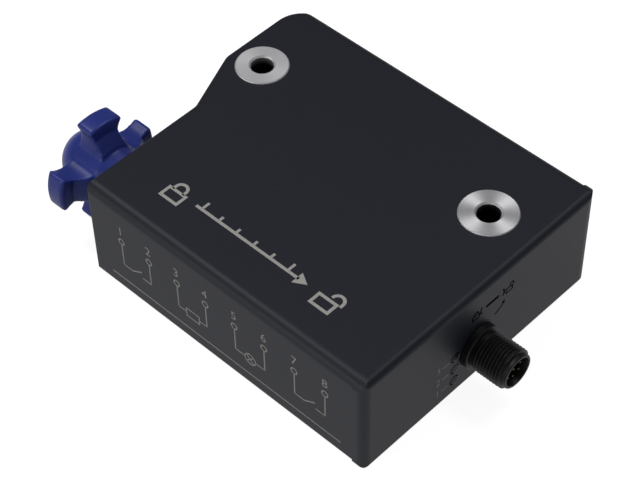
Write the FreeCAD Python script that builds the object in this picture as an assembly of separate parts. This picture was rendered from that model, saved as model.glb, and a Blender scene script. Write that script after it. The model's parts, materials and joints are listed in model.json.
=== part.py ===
import FreeCAD, Part
import math
import os

# Tongue interlock switch with a four-armed locking wheel. Millimetres.
# Working axes: X runs from the wheel end (star face at 0) to the connector face, Y from the near
# long side (0) to the far one, Z from the back face that is screwed down (0) to the front face.
# Everything is saved with the origin midway between the two fixing bores, on the back face.

# --- housing and end cap ---
body_len = 100.0          # star face to connector face
body_wid = 89.8
body_thk = 33.0
wall = 2.5
cap_thk = 4.1             # depth of the end cap's visible rim
cap_proud = 0.35          # how far that rim stands outside the housing
horn_out = 7.9            # how far the horn stands past the star face
horn_foot_y = 40.3        # where its flank leaves the star face
horn_shoulder_y = 59.8    # where its flank reaches full height
horn_foot_r = 4.0
horn_shoulder_r = 6.0
horn_corner_r = 9.0
near_corner_r = 0.8
long_edge_r = 3.0         # front long edges
wheel_edge_r = 0.7        # front edge along the wheel end
back_edge_r = 0.8
far_back_edge_r = 2.4     # back edge on the horn side
cap_near_r = 2.5          # upright corners of the cap
cap_far_r = 5.0
cap_front_r = 2.0         # front edge of the connector face
lip_len = 4.0             # collar of the cap inside the housing's mouth
lip_thk = 2.0
lip_gap = 0.1
seal_inset = 0.7          # gasket's outer edge from the housing's side
seal_wid = 1.2
seal_thk = 0.9
seal_gap = 0.05

# --- fixing bushes, pressed through both faces ---
fix_x = 2.25              # bush in the horn
fix_rear_in = 15.7        # other bush to the connector face
fix_y = 63.85
fix_bore_r = 3.3
fix_sleeve_r = 5.4
fix_flange_r = (7.65, 8.2)
fix_flange_thk = 3.0
fix_proud = 0.4
fix_chamfer = 0.45
fix_edge_chamfer = 0.25
boss_wall = 1.8           # housing left round a bush's flange
press_gap = 0.03

# --- locking wheel and its shaft ---
star_y = 17.1
star_lift = 0.45          # axis above the middle of the case
star_floor_gap = 0.05     # arms to the plane of the back face
star_tip_angle = 21.2     # half the angle of an arm's flared end
star_scallop_r = 7.24     # round gap between two arms
star_scallop_at = 15.8    # its centre's distance from the axis
star_clock = -5.0         # how far the arms are set off the detent
star_far_x = -18.0        # outer plane of the arms
star_tip_thk = 5.8
star_tip_depth = 3.8      # flat inner flank below the flared end
star_root_r = 9.6         # where the inner flank of an arm reaches its full depth
star_root_x = -9.0
star_dome_r = 9.0
star_dome_x = -17.4
star_hub_r = 6.4          # end of the hub at the housing
star_edge_r = 0.7
star_face_gap = 0.7
shaft_r = 4.0
shaft_flat = 3.2          # axis to the flat that drives wheel, cam and disc
shaft_nose = 14.0         # how far the shaft reaches past the star face
run_gap = 0.03
fit_gap = 0.02
shaft_seal_r = 6.4
shaft_seal_thk = 1.8
bush_r = 5.5
bush_flange_r = 7.0
bush_flange_thk = 0.8
bear_boss_r = 8.2
bear_boss_len = 5.0

# --- cam, lock disc and what spaces them on the shaft ---
cam_x = 9.0
cam_thk = 6.0
cam_r = 9.5
notch_r = 3.0
disc_x = 21.0
disc_thk = 6.0
disc_floor_gap = 0.15     # lock disc to the carrier's tray
disc_slot_root = 6.3
disc_slot_gap = 0.2
sleeve_r = 6.0
plate_x = 30.0            # rear bearing plate of the carrier
plate_thk = 4.0
plate_half_wid = 10.0
plate_head_gap = 5.0      # plate's top to the front face
clip_gap = 0.4            # bearing plate to retaining clip
clip_thk = 1.0
clip_r = 6.0
clip_depth = 0.4
clip_mouth = 3.2          # half the width of the clip's opening
clip_play = 0.05
shaft_tail = 1.6

# --- reader coil round the front bearing ---
coil_gap = 0.3
former_in_r = 8.5
former_side_gap = 0.95    # former's flanges to the back wall
former_len = 4.3
former_wall = 0.8
coil_below_flange = 0.5

# --- detent ---
roller_r = 2.4
roller_len = 2.8
roller_pin_r = 0.8
roller_lift = 0.3         # gap to the cam's lobes in the stored pose
detent_travel = 2.0       # from the stored pose to the bottom of a notch
notch_gap = 0.2           # roller to notch at full travel
ear_thk = 1.2
ear_gap = 0.2
ear_nose = 1.1            # ear left ahead of the pin
slide_half_z = 3.2
slide_body = 4.1
guide_gap = 0.1
guide_thk = 2.4
detent_spring_len = 7.0
detent_spring_r = 2.5
detent_wire_r = 0.3
detent_turns = 7
detent_seat_thk = 2.0

# --- locking bolt and solenoid, on one line across the body ---
bolt_r = 3.0
bolt_stroke = 4.5
bolt_tip_gap = 0.9        # tip to lock disc when drawn back
bolt_guide_start = 2.0    # guide block from the disc's rim
bolt_guide_len = 6.0
bolt_guide_half = 5.0
bolt_spring_gap = 0.2
bolt_spring_len = 6.6
bolt_spring_r = 4.2
bolt_wire_r = 0.35
bolt_turns = 5
collar_thk = 1.2
collar_r = 4.6
collar_reach = 7.5        # lug that the release link catches
collar_half_z = 3.0
yoke_start = 50.0
yoke_side_gap = 10.8      # yoke to the far long side
yoke_half_x = 11.5
yoke_floor_gap = 1.05     # yoke to the tray
yoke_thk = 1.6
yoke_seat_wid = 4.0
pole_len = 8.0
core_r = 4.5
core_out = 0.7            # plunger's end past the yoke
core_gap = 0.2            # plunger to pole piece when the bolt is out
bolt_chamfer = 0.5
spigot_r = 1.9
spigot_len = 5.0
bobbin_wall = 0.9
bobbin_flange = 0.9
bobbin_side_gap = 0.1
winding_below_flange = 0.3

# --- carrier tray ---
tray_z = 2.6
tray_thk = 2.0
tray_front_x = 8.6
tray_rear_gap = 9.5       # tray to the connector face
tray_near_y = 5.0
tray_far_gap = 5.3        # tray to the far long side
light_notch = 3.5         # half width of the cut-out round the status lights
boss_clear = 0.5
seat_gap = 0.1

# --- manual release ---
rel_y = 47.5
rel_down = 8.3            # spindle below the front face
rel_head_r = 3.0
rel_recess = 0.3
rel_slot_len = 4.6
rel_slot_wid = 0.8
rel_slot_depth = 1.6
rel_shoulder_r = 3.4
rel_shoulder_len = 1.4
rel_shaft_r = 2.4
rel_disc_r = 4.0
rel_disc_x = 38.6
rel_disc_thk = 1.2
rel_pin_r = 1.2
rel_throw = 2.3
rel_post_x = 40.2
rel_post_thk = 3.0
rel_post_half = 4.2
rel_post_head_gap = 4.0   # post's top to the front face
rel_groove = 0.8
rel_groove_at = 0.7
rel_groove_wid = 1.4
link_x = 36.1
link_thk = 2.0
link_slack = 0.6          # sideways play of the crank pin in its slot
link_end_play = 0.4
link_rim = 1.8
link_foot_down = 2.75     # foot below the bolt's axis
link_foot_up = 2.25
hook_gap = 0.3
hook_thk = 1.3
hook_side_gap = 1.0       # hook to the return spring
rail_len = 18.0

# --- boards ---
board_thk = 1.6
board_front_x = 46.0
board_rear_gap = 16.0     # control board to the connector face
board_y = (7.0, 52.0)
board_z = 7.0
post_r = 2.2
post_inset = 4.0
chips = ((3.5, 7, 10, 10, 1.4), (15, 6, 5, 6, 1.8))          # corner x, y, then length, width, height
relays = ((1.5, 23, 8.5, 15, 9.0), (11.5, 23, 8.5, 15, 9.0))
capacitor_y = (21, 31)
capacitor_inset = 4.5     # from the board's rear edge
capacitor_r = 3.0
capacitor_len = 8.0
io_board_rear_gap = 13.8  # connector board to the connector face
io_board_y = (12.0, 52.5)
io_board_low = 5.2
io_board_head_gap = 3.4   # its top edge to the front face
spindle_hole_gap = 1.0
rib_wid = 2.5
rib_thk = 1.4
rib_top = 12.0

# --- M12 connector ---
plug_y = 42.3
plug_z = 12.4
plug_len = 13.6
plug_flange_r = 6.6
plug_flange_thk = 1.4
plug_flange_chamfer = 0.4
plug_neck_r = 5.2
plug_neck_end = 3.2
plug_thread_r = 6.0
plug_thread_end = 12.1
plug_tip_r = 5.15
plug_tip_chamfer = 0.4
plug_bore_r = 4.3
plug_bore_depth = 8.0
plug_key = 0.5
plug_key_wid = 1.0
plug_key_back = 1.0       # end of the key behind the rim
plug_key_root = 0.2
plug_tail = 4.6           # threaded stem behind the cap
nut_r = 6.6
nut_thk = 3.0
seal_ring_r = 6.1
seal_ring_thk = 0.9
insert_tail = 8.0
insert_flange_r = 5.0
insert_flange_thk = 1.5
pin_r = 0.4
pin_circle_r = 2.75
pin_ring_count = 7
pin_tip_back = 1.2        # pin ends behind the connector's rim
pin_through = 0.6

# --- status lights ---
light_y = 33.8
light_z = (5.2, 9.8, 14.4)
light_r = 1.4
light_gap = 0.03
led_thk = 1.1
led_half = 1.3
led_gap = 0.15            # lamp chip to light pipe

cap_x = body_len - cap_thk
fix_spacing = body_len - fix_rear_in - fix_x
fix_points = ((fix_x, fix_y), (fix_x + fix_spacing, fix_y))
tray_top = tray_z + tray_thk
star_z = body_thk / 2 + star_lift
star_tip_r = star_z - star_floor_gap
former_out_r = star_z - wall - former_side_gap
disc_r = star_z - tray_top - disc_floor_gap
yoke_half_z = star_z - tray_top - yoke_floor_gap
bobbin_flange_r = yoke_half_z - yoke_thk - bobbin_side_gap
yoke_end = body_wid - yoke_side_gap
rel_z = body_thk - rel_down
link_foot_z = star_z - link_foot_down
board_x = (board_front_x, body_len - board_rear_gap)
io_board_x = body_len - io_board_rear_gap
datum = FreeCAD.Vector(fix_x + fix_spacing / 2, fix_y, 0)
cam_rim_y = star_y + cam_r
notch_at = cam_r + roller_lift - detent_travel - notch_gap + notch_r
disc_rim_y = star_y + disc_r
disc_mid_x = disc_x + disc_thk / 2
cam_mid_x = cam_x + cam_thk / 2
roller_y = cam_rim_y + roller_lift + roller_r
bolt_tip_y = disc_rim_y + bolt_tip_gap
guide_y = disc_rim_y + bolt_guide_start
collar_y = guide_y + bolt_guide_len + bolt_spring_len + bolt_spring_gap * 2
hook_y = collar_y - bolt_stroke - hook_gap
core_y = yoke_start + pole_len + core_gap + bolt_stroke

X_DIR = FreeCAD.Vector(1, 0, 0)
Y_DIR = FreeCAD.Vector(0, 1, 0)
Z_DIR = FreeCAD.Vector(0, 0, 1)


def vec(x, y, z):
    return FreeCAD.Vector(x, y, z)


def block(x0, x1, y0, y1, z0, z1):
    return Part.makeBox(x1 - x0, y1 - y0, z1 - z0, vec(x0, y0, z0))


def rod(start, direction, length, radius):
    return Part.makeCylinder(radius, length, start, direction)


def pipe(start, direction, length, outer, inner):
    return rod(start, direction, length, outer).cut(rod(start, direction, length, inner))


def ball(centre, radius):
    return Part.makeSphere(radius, centre)


def rounded_outline(corners, place):
    """Closed wire through (a, b, radius) corners, each rounded; place(a, b) gives the 3-D point."""
    edges = []
    ends = []
    count = len(corners)
    for i in range(count):
        before = FreeCAD.Vector(*corners[i - 1][:2], 0)
        here = FreeCAD.Vector(*corners[i][:2], 0)
        after = FreeCAD.Vector(*corners[(i + 1) % count][:2], 0)
        radius = corners[i][2]
        to_before = (before - here).normalize()
        to_after = (after - here).normalize()
        half = to_before.getAngle(to_after) / 2
        reach = radius / math.tan(half)
        middle = (to_before + to_after).normalize() * (radius / math.sin(half) - radius)
        ends.append((here + to_before * reach, here + middle, here + to_after * reach, radius))
    for i in range(count):
        start, middle, end, radius = ends[i]
        if radius > 0:
            edges.append(Part.Arc(place(*start[:2]), place(*middle[:2]), place(*end[:2])).toShape())
        following = ends[(i + 1) % count][0]
        if (following - end).Length > 1e-6:
            edges.append(Part.makeLine(place(*end[:2]), place(*following[:2])))
    return Part.Wire(edges)


def flat_prism(corners, z0, z1):
    """Rounded outline in X and Y, raised from z0 to z1."""
    wire = rounded_outline(corners, lambda a, b: vec(a, b, z0))
    return Part.Face(wire).extrude(vec(0, 0, z1 - z0))


def long_prism(corners, x0, x1):
    """Rounded outline in Y and Z, drawn out from x0 to x1."""
    wire = rounded_outline(corners, lambda a, b: vec(x0, a, b))
    return Part.Face(wire).extrude(vec(x1 - x0, 0, 0))


def cross_prism(corners, y0, y1):
    """Rounded outline in X and Z, drawn out from y0 to y1."""
    wire = rounded_outline(corners, lambda a, b: vec(a, y0, b))
    return Part.Face(wire).extrude(vec(0, y1 - y0, 0))


def turned(points, axis_y, axis_z):
    """Solid turned about an axis along X from (x, radius) points."""
    wire = Part.makePolygon([vec(x, axis_y + r, axis_z) for x, r in points + points[:1]])
    return Part.Face(wire).revolve(vec(0, axis_y, axis_z), X_DIR, 360)


def joined(shapes):
    whole = shapes[0]
    for shape in shapes[1:]:
        whole = whole.fuse(shape)
    return whole.removeSplitter()


def spring(start, length, radius, wire_r, turns):
    """Coil spring along +Y between two faces, its wire kept inside them."""
    pitch = (length - 2 * wire_r) / turns
    helix = Part.makeLongHelix(pitch, pitch * turns, radius - wire_r)
    section = Part.Wire(Part.makeCircle(wire_r, vec(radius - wire_r, 0, 0), Y_DIR))
    coil = Part.Wire(helix.Edges).makePipeShell([section], True, True)
    coil.rotate(vec(0, 0, 0), X_DIR, -90)
    coil.translate(start + vec(0, wire_r, 0))
    return coil


def d_bar(x0, x1, gap):
    """Shaft section with its driving flat, grown by gap."""
    round_bar = rod(vec(x0, star_y, star_z), X_DIR, x1 - x0, shaft_r + gap)
    span = shaft_r + gap + 1
    keep = block(x0, x1, star_y - span, star_y + span, star_z - span, star_z + shaft_flat + gap)
    return round_bar.common(keep)


# ---------------------------------------------------------------- housing
def body_outline(inset, end_x):
    """Plan of the housing, drawn inwards by inset and open towards end_x."""
    slope = math.atan2(horn_out, horn_shoulder_y - horn_foot_y)
    shift = inset * math.tan(slope / 2)
    return [
        (inset, inset, max(near_corner_r - inset, 0)),
        (end_x, inset, 0),
        (end_x, body_wid - inset, 0),
        (inset - horn_out, body_wid - inset, horn_corner_r - inset),
        (inset - horn_out, horn_shoulder_y + shift, horn_shoulder_r - inset),
        (inset, horn_foot_y + shift, horn_foot_r + inset),
    ]


def body_section(inset, floor, front_r, near_back_r, far_back_r):
    """Cross section of the housing, drawn inwards by inset."""
    top = body_thk - inset
    return [
        (inset, floor, near_back_r),
        (body_wid - inset, floor, far_back_r),
        (body_wid - inset, top, front_r),
        (inset, top, front_r),
    ]


def make_housing():
    reach = horn_out + 1
    outer = flat_prism(body_outline(0, cap_x), 0, body_thk)
    outer = outer.makeFillet(wheel_edge_r, [e for e in outer.Edges if is_wheel_end_edge(e)])
    section = body_section(0, 0, long_edge_r, back_edge_r, far_back_edge_r)
    outer = outer.common(long_prism(section, -reach, cap_x))
    inner = flat_prism(body_outline(wall, cap_x + 1), wall, body_thk - wall)
    inner_section = body_section(wall, wall, long_edge_r - wall, 0, 0)
    inner = inner.common(long_prism(inner_section, -reach, cap_x + 1))
    shell = outer.cut(inner)
    for (x, y), flange_r in zip(fix_points, fix_flange_r):
        boss = rod(vec(x, y, 0), Z_DIR, body_thk, flange_r + boss_wall)
        shell = shell.fuse(boss.common(outer))
    bearing = rod(vec(wall, star_y, star_z), X_DIR, bear_boss_len, bear_boss_r)
    shell = shell.fuse(bearing).removeSplitter()
    for (x, y), flange_r in zip(fix_points, fix_flange_r):
        shell = shell.cut(rod(vec(x, y, -1), Z_DIR, body_thk + 2, fix_sleeve_r + press_gap))
        seat_z = body_thk + fix_proud - fix_flange_thk
        shell = shell.cut(rod(vec(x, y, seat_z), Z_DIR, fix_flange_thk, flange_r + press_gap))
    shell = shell.cut(rod(vec(-1, star_y, star_z), X_DIR, wall + bear_boss_len + 2, bush_r + press_gap))
    seal_end = seal_depth()
    return shell.cut(rod(vec(-1, star_y, star_z), X_DIR, 1 + seal_end, shaft_seal_r + press_gap))


def is_wheel_end_edge(edge):
    """True for the edges of the front face that run across the wheel end."""
    middle = edge.valueAt((edge.FirstParameter + edge.LastParameter) / 2)
    across = edge.BoundBox.XMax < near_corner_r + fit_gap
    return across and middle.z > body_thk - fit_gap


def seal_depth():
    """Depth of the counterbore that holds the shaft seal in the star face."""
    return shaft_seal_thk + seal_gap * 2


def inset_frame(outer, inner, x0, x1):
    """Frame that follows the body's section between two insets, from x0 to x1."""
    frame = long_prism(body_section(outer, outer, max(long_edge_r - outer, 0), 0, 0), x0, x1)
    return frame.cut(long_prism(body_section(inner, inner, max(long_edge_r - inner, 0), 0, 0), x0, x1))


def make_end_cap():
    near = -cap_proud
    far = body_wid + cap_proud
    top = body_thk + cap_proud
    plan = [
        (cap_x, near, 0),
        (body_len, near, cap_near_r),
        (body_len, far, cap_far_r),
        (cap_x, far, 0),
    ]
    section = [
        (near, 0, back_edge_r),
        (far, 0, far_back_edge_r),
        (far, top, long_edge_r + cap_proud),
        (near, top, long_edge_r + cap_proud),
    ]
    side = [(cap_x, 0, 0), (body_len, 0, back_edge_r), (body_len, top, cap_front_r), (cap_x, top, 0)]
    rim = flat_prism(plan, 0, top)
    rim = rim.common(long_prism(section, cap_x, body_len))
    rim = rim.common(cross_prism(side, near, far))
    lip_x = cap_x - lip_len
    lip_inset = wall + lip_gap
    lip = inset_frame(lip_inset, lip_inset + lip_thk, lip_x, cap_x)
    boss_r = fix_flange_r[1] + boss_wall + boss_clear
    lip = lip.cut(rod(vec(*fix_points[1], 0), Z_DIR, body_thk, boss_r))
    cap = joined([rim, lip])
    groove = inset_frame(seal_inset, seal_inset + seal_wid, cap_x, cap_x + seal_thk)
    cap = cap.cut(groove)
    cap = cap.cut(rod(vec(lip_x, plug_y, plug_z), X_DIR, 2 * body_len, plug_neck_r + press_gap))
    for z in light_z:
        cap = cap.cut(rod(vec(lip_x, light_y, z), X_DIR, 2 * body_len, light_r + light_gap))
    cap = cap.cut(rod(vec(lip_x, rel_y, rel_z), X_DIR, 2 * body_len, rel_head_r + run_gap))
    return cap.cut(seal_ring_room())


def make_cap_seal():
    inset = seal_inset + seal_gap
    width = seal_wid - 2 * seal_gap
    return inset_frame(inset, inset + width, cap_x + seal_gap, cap_x + seal_thk - seal_gap)


# ---------------------------------------------------------------- fixing bushes
def make_fixing_bush(index):
    x, y = fix_points[index]
    flange_r = fix_flange_r[index]
    top = body_thk + fix_proud
    seat = top - fix_flange_thk
    sleeve = rod(vec(x, y, 0), Z_DIR, seat, fix_sleeve_r)
    flange = rod(vec(x, y, seat), Z_DIR, fix_flange_thk, flange_r)
    rim = [e for e in flange.Edges if e.BoundBox.ZMin > top - fit_gap]
    bush = joined([sleeve, flange.makeChamfer(fix_edge_chamfer, rim)])
    bush = bush.cut(rod(vec(x, y, -1), Z_DIR, body_thk * 2, fix_bore_r))
    cone_r = fix_bore_r + fix_chamfer
    countersink = Part.makeCone(fix_bore_r, cone_r, fix_chamfer, vec(x, y, top - fix_chamfer), Z_DIR)
    return bush.cut(countersink)


# ---------------------------------------------------------------- locking wheel
def star_plan(x0, x1):
    """Four-armed plan of the wheel, drawn out from x0 to x1 and turned to its clock angle."""
    plan = rod(vec(x0, star_y, star_z), X_DIR, x1 - x0, star_tip_r)
    for i in range(4):
        angle = math.radians(45 + 90 * i)
        y = star_y + star_scallop_at * math.cos(angle)
        z = star_z + star_scallop_at * math.sin(angle)
        plan = plan.cut(rod(vec(x0, y, z), X_DIR, x1 - x0, star_scallop_r))
        wedge = [
            vec(x0, y, z),
            vec(x0, *wedge_point(angle, -1)),
            vec(x0, *wedge_point(angle, 1)),
            vec(x0, y, z),
        ]
        plan = plan.cut(Part.Face(Part.makePolygon(wedge)).extrude(vec(x1 - x0, 0, 0)))
    plan.rotate(vec(0, star_y, star_z), X_DIR, star_clock)
    return plan


def wedge_point(angle, side):
    """Outer corner of the open mouth between two arms."""
    corner = angle + side * (math.pi / 4 - math.radians(star_tip_angle))
    far = star_tip_r * 1.6
    return star_y + far * math.cos(corner), star_z + far * math.sin(corner)


def make_star_wheel():
    inner_tip_x = star_far_x + star_tip_thk
    tip = star_tip_r + 1
    profile = turned(
        [
            (star_far_x, 0),
            (star_far_x, tip),
            (inner_tip_x, tip),
            (inner_tip_x, star_tip_r - star_tip_depth),
            (star_root_x, star_root_r),
            (star_root_x, 0),
        ],
        star_y,
        star_z,
    )
    arms = star_plan(star_far_x, star_root_x).common(profile)
    rim = [e for e in arms.Edges if is_tip_edge(e)]
    arms = arms.makeFillet(star_edge_r, rim)
    hub = turned(
        [
            (star_dome_x, 0),
            (star_dome_x, star_dome_r),
            (star_root_x, star_dome_r),
            (-star_face_gap, star_hub_r),
            (-star_face_gap, 0),
        ],
        star_y,
        star_z,
    )
    dome = ball(vec(star_dome_x, star_y, star_z), star_dome_r)
    wheel = joined([arms, hub, dome])
    return wheel.cut(d_bar(-shaft_nose - fit_gap, 0, fit_gap))


def is_tip_edge(edge):
    """True for the edges round the flared end of an arm."""
    middle = edge.valueAt((edge.FirstParameter + edge.LastParameter) / 2)
    radius = math.hypot(middle.y - star_y, middle.z - star_z)
    return radius > star_tip_r - 0.05


def make_star_shaft():
    end = clip_start().x + clip_thk + shaft_tail
    shaft = d_bar(-shaft_nose, disc_x + disc_thk, 0)
    for start, stop in ((-star_face_gap, cam_x), (disc_x + disc_thk, end)):
        shaft = shaft.fuse(rod(vec(start, star_y, star_z), X_DIR, stop - start, shaft_r))
    groove = pipe(clip_start(), X_DIR, clip_thk + 2 * clip_play, shaft_r + 1, shaft_r - clip_depth)
    return shaft.removeSplitter().cut(groove)


def clip_start():
    return vec(plate_x + plate_thk + clip_gap, star_y, star_z)


def make_retaining_clip():
    start = clip_start() + vec(clip_play, 0, 0)
    ring = pipe(start, X_DIR, clip_thk, clip_r, shaft_r - clip_depth + fit_gap)
    near = star_y - clip_mouth
    far = star_y + clip_mouth
    return ring.cut(block(start.x, start.x + clip_thk, near, far, star_z - clip_r, star_z))


def make_shaft_seal():
    start = vec(seal_gap, star_y, star_z)
    return pipe(start, X_DIR, shaft_seal_thk, shaft_seal_r, shaft_r + run_gap)


def make_front_bearing_bush():
    start = seal_depth() + seal_gap
    end = wall + bear_boss_len
    points = [
        (start, shaft_r + run_gap),
        (start, bush_r),
        (end + seal_gap, bush_r),
        (end + seal_gap, bush_flange_r),
        (end + seal_gap + bush_flange_thk, bush_flange_r),
        (end + seal_gap + bush_flange_thk, shaft_r + run_gap),
    ]
    return turned(points, star_y, star_z)


def make_rear_bearing_bush():
    return pipe(vec(plate_x, star_y, star_z), X_DIR, plate_thk, bush_r, shaft_r + run_gap)


def make_detent_cam():
    cam = rod(vec(cam_x, star_y, star_z), X_DIR, cam_thk, cam_r)
    for i in range(4):
        angle = math.radians(90 * i)
        y = star_y + notch_at * math.cos(angle)
        z = star_z + notch_at * math.sin(angle)
        cam = cam.cut(rod(vec(cam_x, y, z), X_DIR, cam_thk, notch_r))
    return cam.cut(d_bar(cam_x, cam_x + cam_thk, fit_gap))


def make_lock_disc():
    disc = rod(vec(disc_x, star_y, star_z), X_DIR, disc_thk, disc_r)
    half = bolt_r + disc_slot_gap
    slot = block(disc_x, disc_x + disc_thk, disc_slot_root, disc_r + 1, -half, half)
    slot.translate(vec(0, star_y, star_z))
    for i in range(4):
        cutter = slot.copy()
        cutter.rotate(vec(0, star_y, star_z), X_DIR, 90 * i)
        disc = disc.cut(cutter)
    return disc.cut(d_bar(disc_x, disc_x + disc_thk, fit_gap))


def make_cam_spacer():
    start = cam_x + cam_thk
    return pipe(vec(start, star_y, star_z), X_DIR, disc_x - start, sleeve_r, shaft_r + fit_gap)


def make_disc_spacer():
    start = disc_x + disc_thk
    length = plate_x - start - seal_gap
    return pipe(vec(start, star_y, star_z), X_DIR, length, sleeve_r, shaft_r + fit_gap)


# ---------------------------------------------------------------- reader coil
def make_coil_former():
    start = wall + coil_gap
    end = start + former_len
    floor_r = former_in_r + former_wall
    points = [
        (start, former_in_r),
        (start, former_out_r),
        (start + former_wall, former_out_r),
        (start + former_wall, floor_r),
        (end - former_wall, floor_r),
        (end - former_wall, former_out_r),
        (end, former_out_r),
        (end, former_in_r),
    ]
    return turned(points, star_y, star_z)


def make_reader_coil():
    start = wall + coil_gap + former_wall + seal_gap
    length = former_len - 2 * (former_wall + seal_gap)
    inner = former_in_r + former_wall + seal_gap
    return pipe(vec(start, star_y, star_z), X_DIR, length, former_out_r - coil_below_flange, inner)


# ---------------------------------------------------------------- detent
def ear_half_x():
    """Half the width of the detent slide over its two ears."""
    return roller_len / 2 + ear_gap + ear_thk


def slide_back_y():
    return roller_y + roller_r + ear_gap + slide_body


def make_detent_slide():
    half = ear_half_x()
    x0 = cam_mid_x - half
    x1 = cam_mid_x + half
    front = roller_y - ear_nose
    ear_half_z = roller_pin_r * 2
    ears = block(x0, x1, front, slide_back_y(), star_z - ear_half_z, star_z + ear_half_z)
    body_y = slide_back_y() - slide_body
    body = block(x0, x1, body_y, slide_back_y(), star_z - slide_half_z, star_z + slide_half_z)
    slide = joined([ears, body])
    inner = roller_len / 2 + ear_gap
    slide = slide.cut(block(cam_mid_x - inner, cam_mid_x + inner, front, body_y, 0, body_thk))
    return slide.cut(rod(vec(x0, roller_y, star_z), X_DIR, 2 * half, roller_pin_r + fit_gap))


def make_detent_roller():
    start = vec(cam_mid_x - roller_len / 2, roller_y, star_z)
    return pipe(start, X_DIR, roller_len, roller_r, roller_pin_r + run_gap)


def make_roller_pin():
    half = ear_half_x()
    return rod(vec(cam_mid_x - half, roller_y, star_z), X_DIR, 2 * half, roller_pin_r)


def make_detent_spring():
    start = vec(cam_mid_x, slide_back_y() + seal_gap, star_z)
    length = detent_spring_len - 2 * seal_gap
    return spring(start, length, detent_spring_r, detent_wire_r, detent_turns)


# ---------------------------------------------------------------- locking bolt and solenoid
def make_locking_bolt():
    axis = vec(disc_mid_x, bolt_tip_y, star_z)
    bar = rod(axis, Y_DIR, core_y - bolt_tip_y, bolt_r)
    tip_edges = [e for e in bar.Edges if abs(e.BoundBox.YMax - bolt_tip_y) < 0.01]
    bar = bar.makeChamfer(bolt_chamfer, tip_edges)
    collar = rod(vec(disc_mid_x, collar_y, star_z), Y_DIR, collar_thk, collar_r)
    lug = block(
        disc_mid_x,
        disc_mid_x + collar_reach,
        collar_y,
        collar_y + collar_thk,
        star_z - collar_half_z,
        star_z + collar_half_z,
    )
    spigot = rod(vec(disc_mid_x, core_y, star_z), Y_DIR, spigot_len, spigot_r)
    return joined([bar, collar, lug, spigot])


def make_return_spring():
    start = vec(disc_mid_x, guide_y + bolt_guide_len + bolt_spring_gap, star_z)
    return spring(start, bolt_spring_len, bolt_spring_r, bolt_wire_r, bolt_turns)


def make_plunger():
    core = rod(vec(disc_mid_x, core_y, star_z), Y_DIR, yoke_end + core_out - core_y, core_r)
    return core.cut(rod(vec(disc_mid_x, core_y, star_z), Y_DIR, spigot_len, spigot_r + fit_gap))


def make_pole_piece():
    return pipe(vec(disc_mid_x, yoke_start, star_z), Y_DIR, pole_len, core_r, bolt_r + run_gap)


def make_solenoid_yoke():
    x0 = disc_mid_x - yoke_half_x
    x1 = disc_mid_x + yoke_half_x
    z0 = star_z - yoke_half_z
    z1 = star_z + yoke_half_z
    frame = block(x0, x1, yoke_start, yoke_end, z0, z1)
    window_y = (yoke_start + yoke_thk, yoke_end - yoke_thk)
    frame = frame.cut(block(x0, x1, *window_y, z0 + yoke_thk, z1 - yoke_thk))
    hole = rod(vec(disc_mid_x, yoke_start, star_z), Y_DIR, yoke_end - yoke_start, core_r + run_gap)
    return frame.cut(hole)


def bobbin_span():
    start = yoke_start + yoke_thk + seal_gap
    return start, yoke_end - yoke_thk - seal_gap


def make_bobbin():
    start, end = bobbin_span()
    axis = vec(disc_mid_x, start, star_z)
    tube = rod(axis, Y_DIR, end - start, core_r + run_gap * 2 + bobbin_wall)
    near = rod(axis, Y_DIR, bobbin_flange, bobbin_flange_r)
    far = rod(vec(disc_mid_x, end - bobbin_flange, star_z), Y_DIR, bobbin_flange, bobbin_flange_r)
    spool = joined([tube, near, far])
    return spool.cut(rod(axis, Y_DIR, end - start, core_r + run_gap * 2))


def make_solenoid_coil():
    start, end = bobbin_span()
    first = start + bobbin_flange + seal_gap
    length = end - bobbin_flange - seal_gap - first
    inner = core_r + run_gap * 2 + bobbin_wall + seal_gap
    outer = bobbin_flange_r - winding_below_flange
    return pipe(vec(disc_mid_x, first, star_z), Y_DIR, length, outer, inner)


# ---------------------------------------------------------------- carrier
def make_carrier():
    tray_rear_x = body_len - tray_rear_gap
    tray_far_y = body_wid - tray_far_gap
    tray = block(tray_front_x, tray_rear_x, tray_near_y, tray_far_y, tray_z, tray_top)
    for (x, y), flange_r in zip(fix_points, fix_flange_r):
        tray = tray.cut(rod(vec(x, y, 0), Z_DIR, body_thk, flange_r + boss_wall + boss_clear))
    near = light_y - light_notch
    far = light_y + light_notch
    tray = tray.cut(block(io_board_x, tray_rear_x, near, far, 0, tray_top))
    pieces = [tray]
    near = star_y - plate_half_wid
    far = star_y + plate_half_wid
    plate_top = body_thk - plate_head_gap
    pieces.append(block(plate_x, plate_x + plate_thk, near, far, tray_z, plate_top))
    half = bolt_guide_half
    mid = disc_mid_x
    pieces.append(block(mid - half, mid + half, guide_y, guide_y + bolt_guide_len, tray_z, star_z + half))
    pieces += detent_guide() + release_supports() + board_supports()
    seat_top = star_z - yoke_half_z - seat_gap
    for y in (yoke_start, yoke_end - yoke_seat_wid):
        pieces.append(block(mid - yoke_half_x, mid + yoke_half_x, y, y + yoke_seat_wid, tray_z, seat_top))
    carrier = joined(pieces)
    carrier = carrier.cut(rod(vec(plate_x - 1, star_y, star_z), X_DIR, plate_thk + 2, bush_r + press_gap))
    carrier = carrier.cut(rod(vec(mid, guide_y - 1, star_z), Y_DIR, bolt_guide_len + 2, bolt_r + run_gap))
    hole = rod(vec(rel_post_x - 1, rel_y, rel_z), X_DIR, rel_post_thk + 2, rel_shaft_r + run_gap)
    return carrier.cut(hole)


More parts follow.
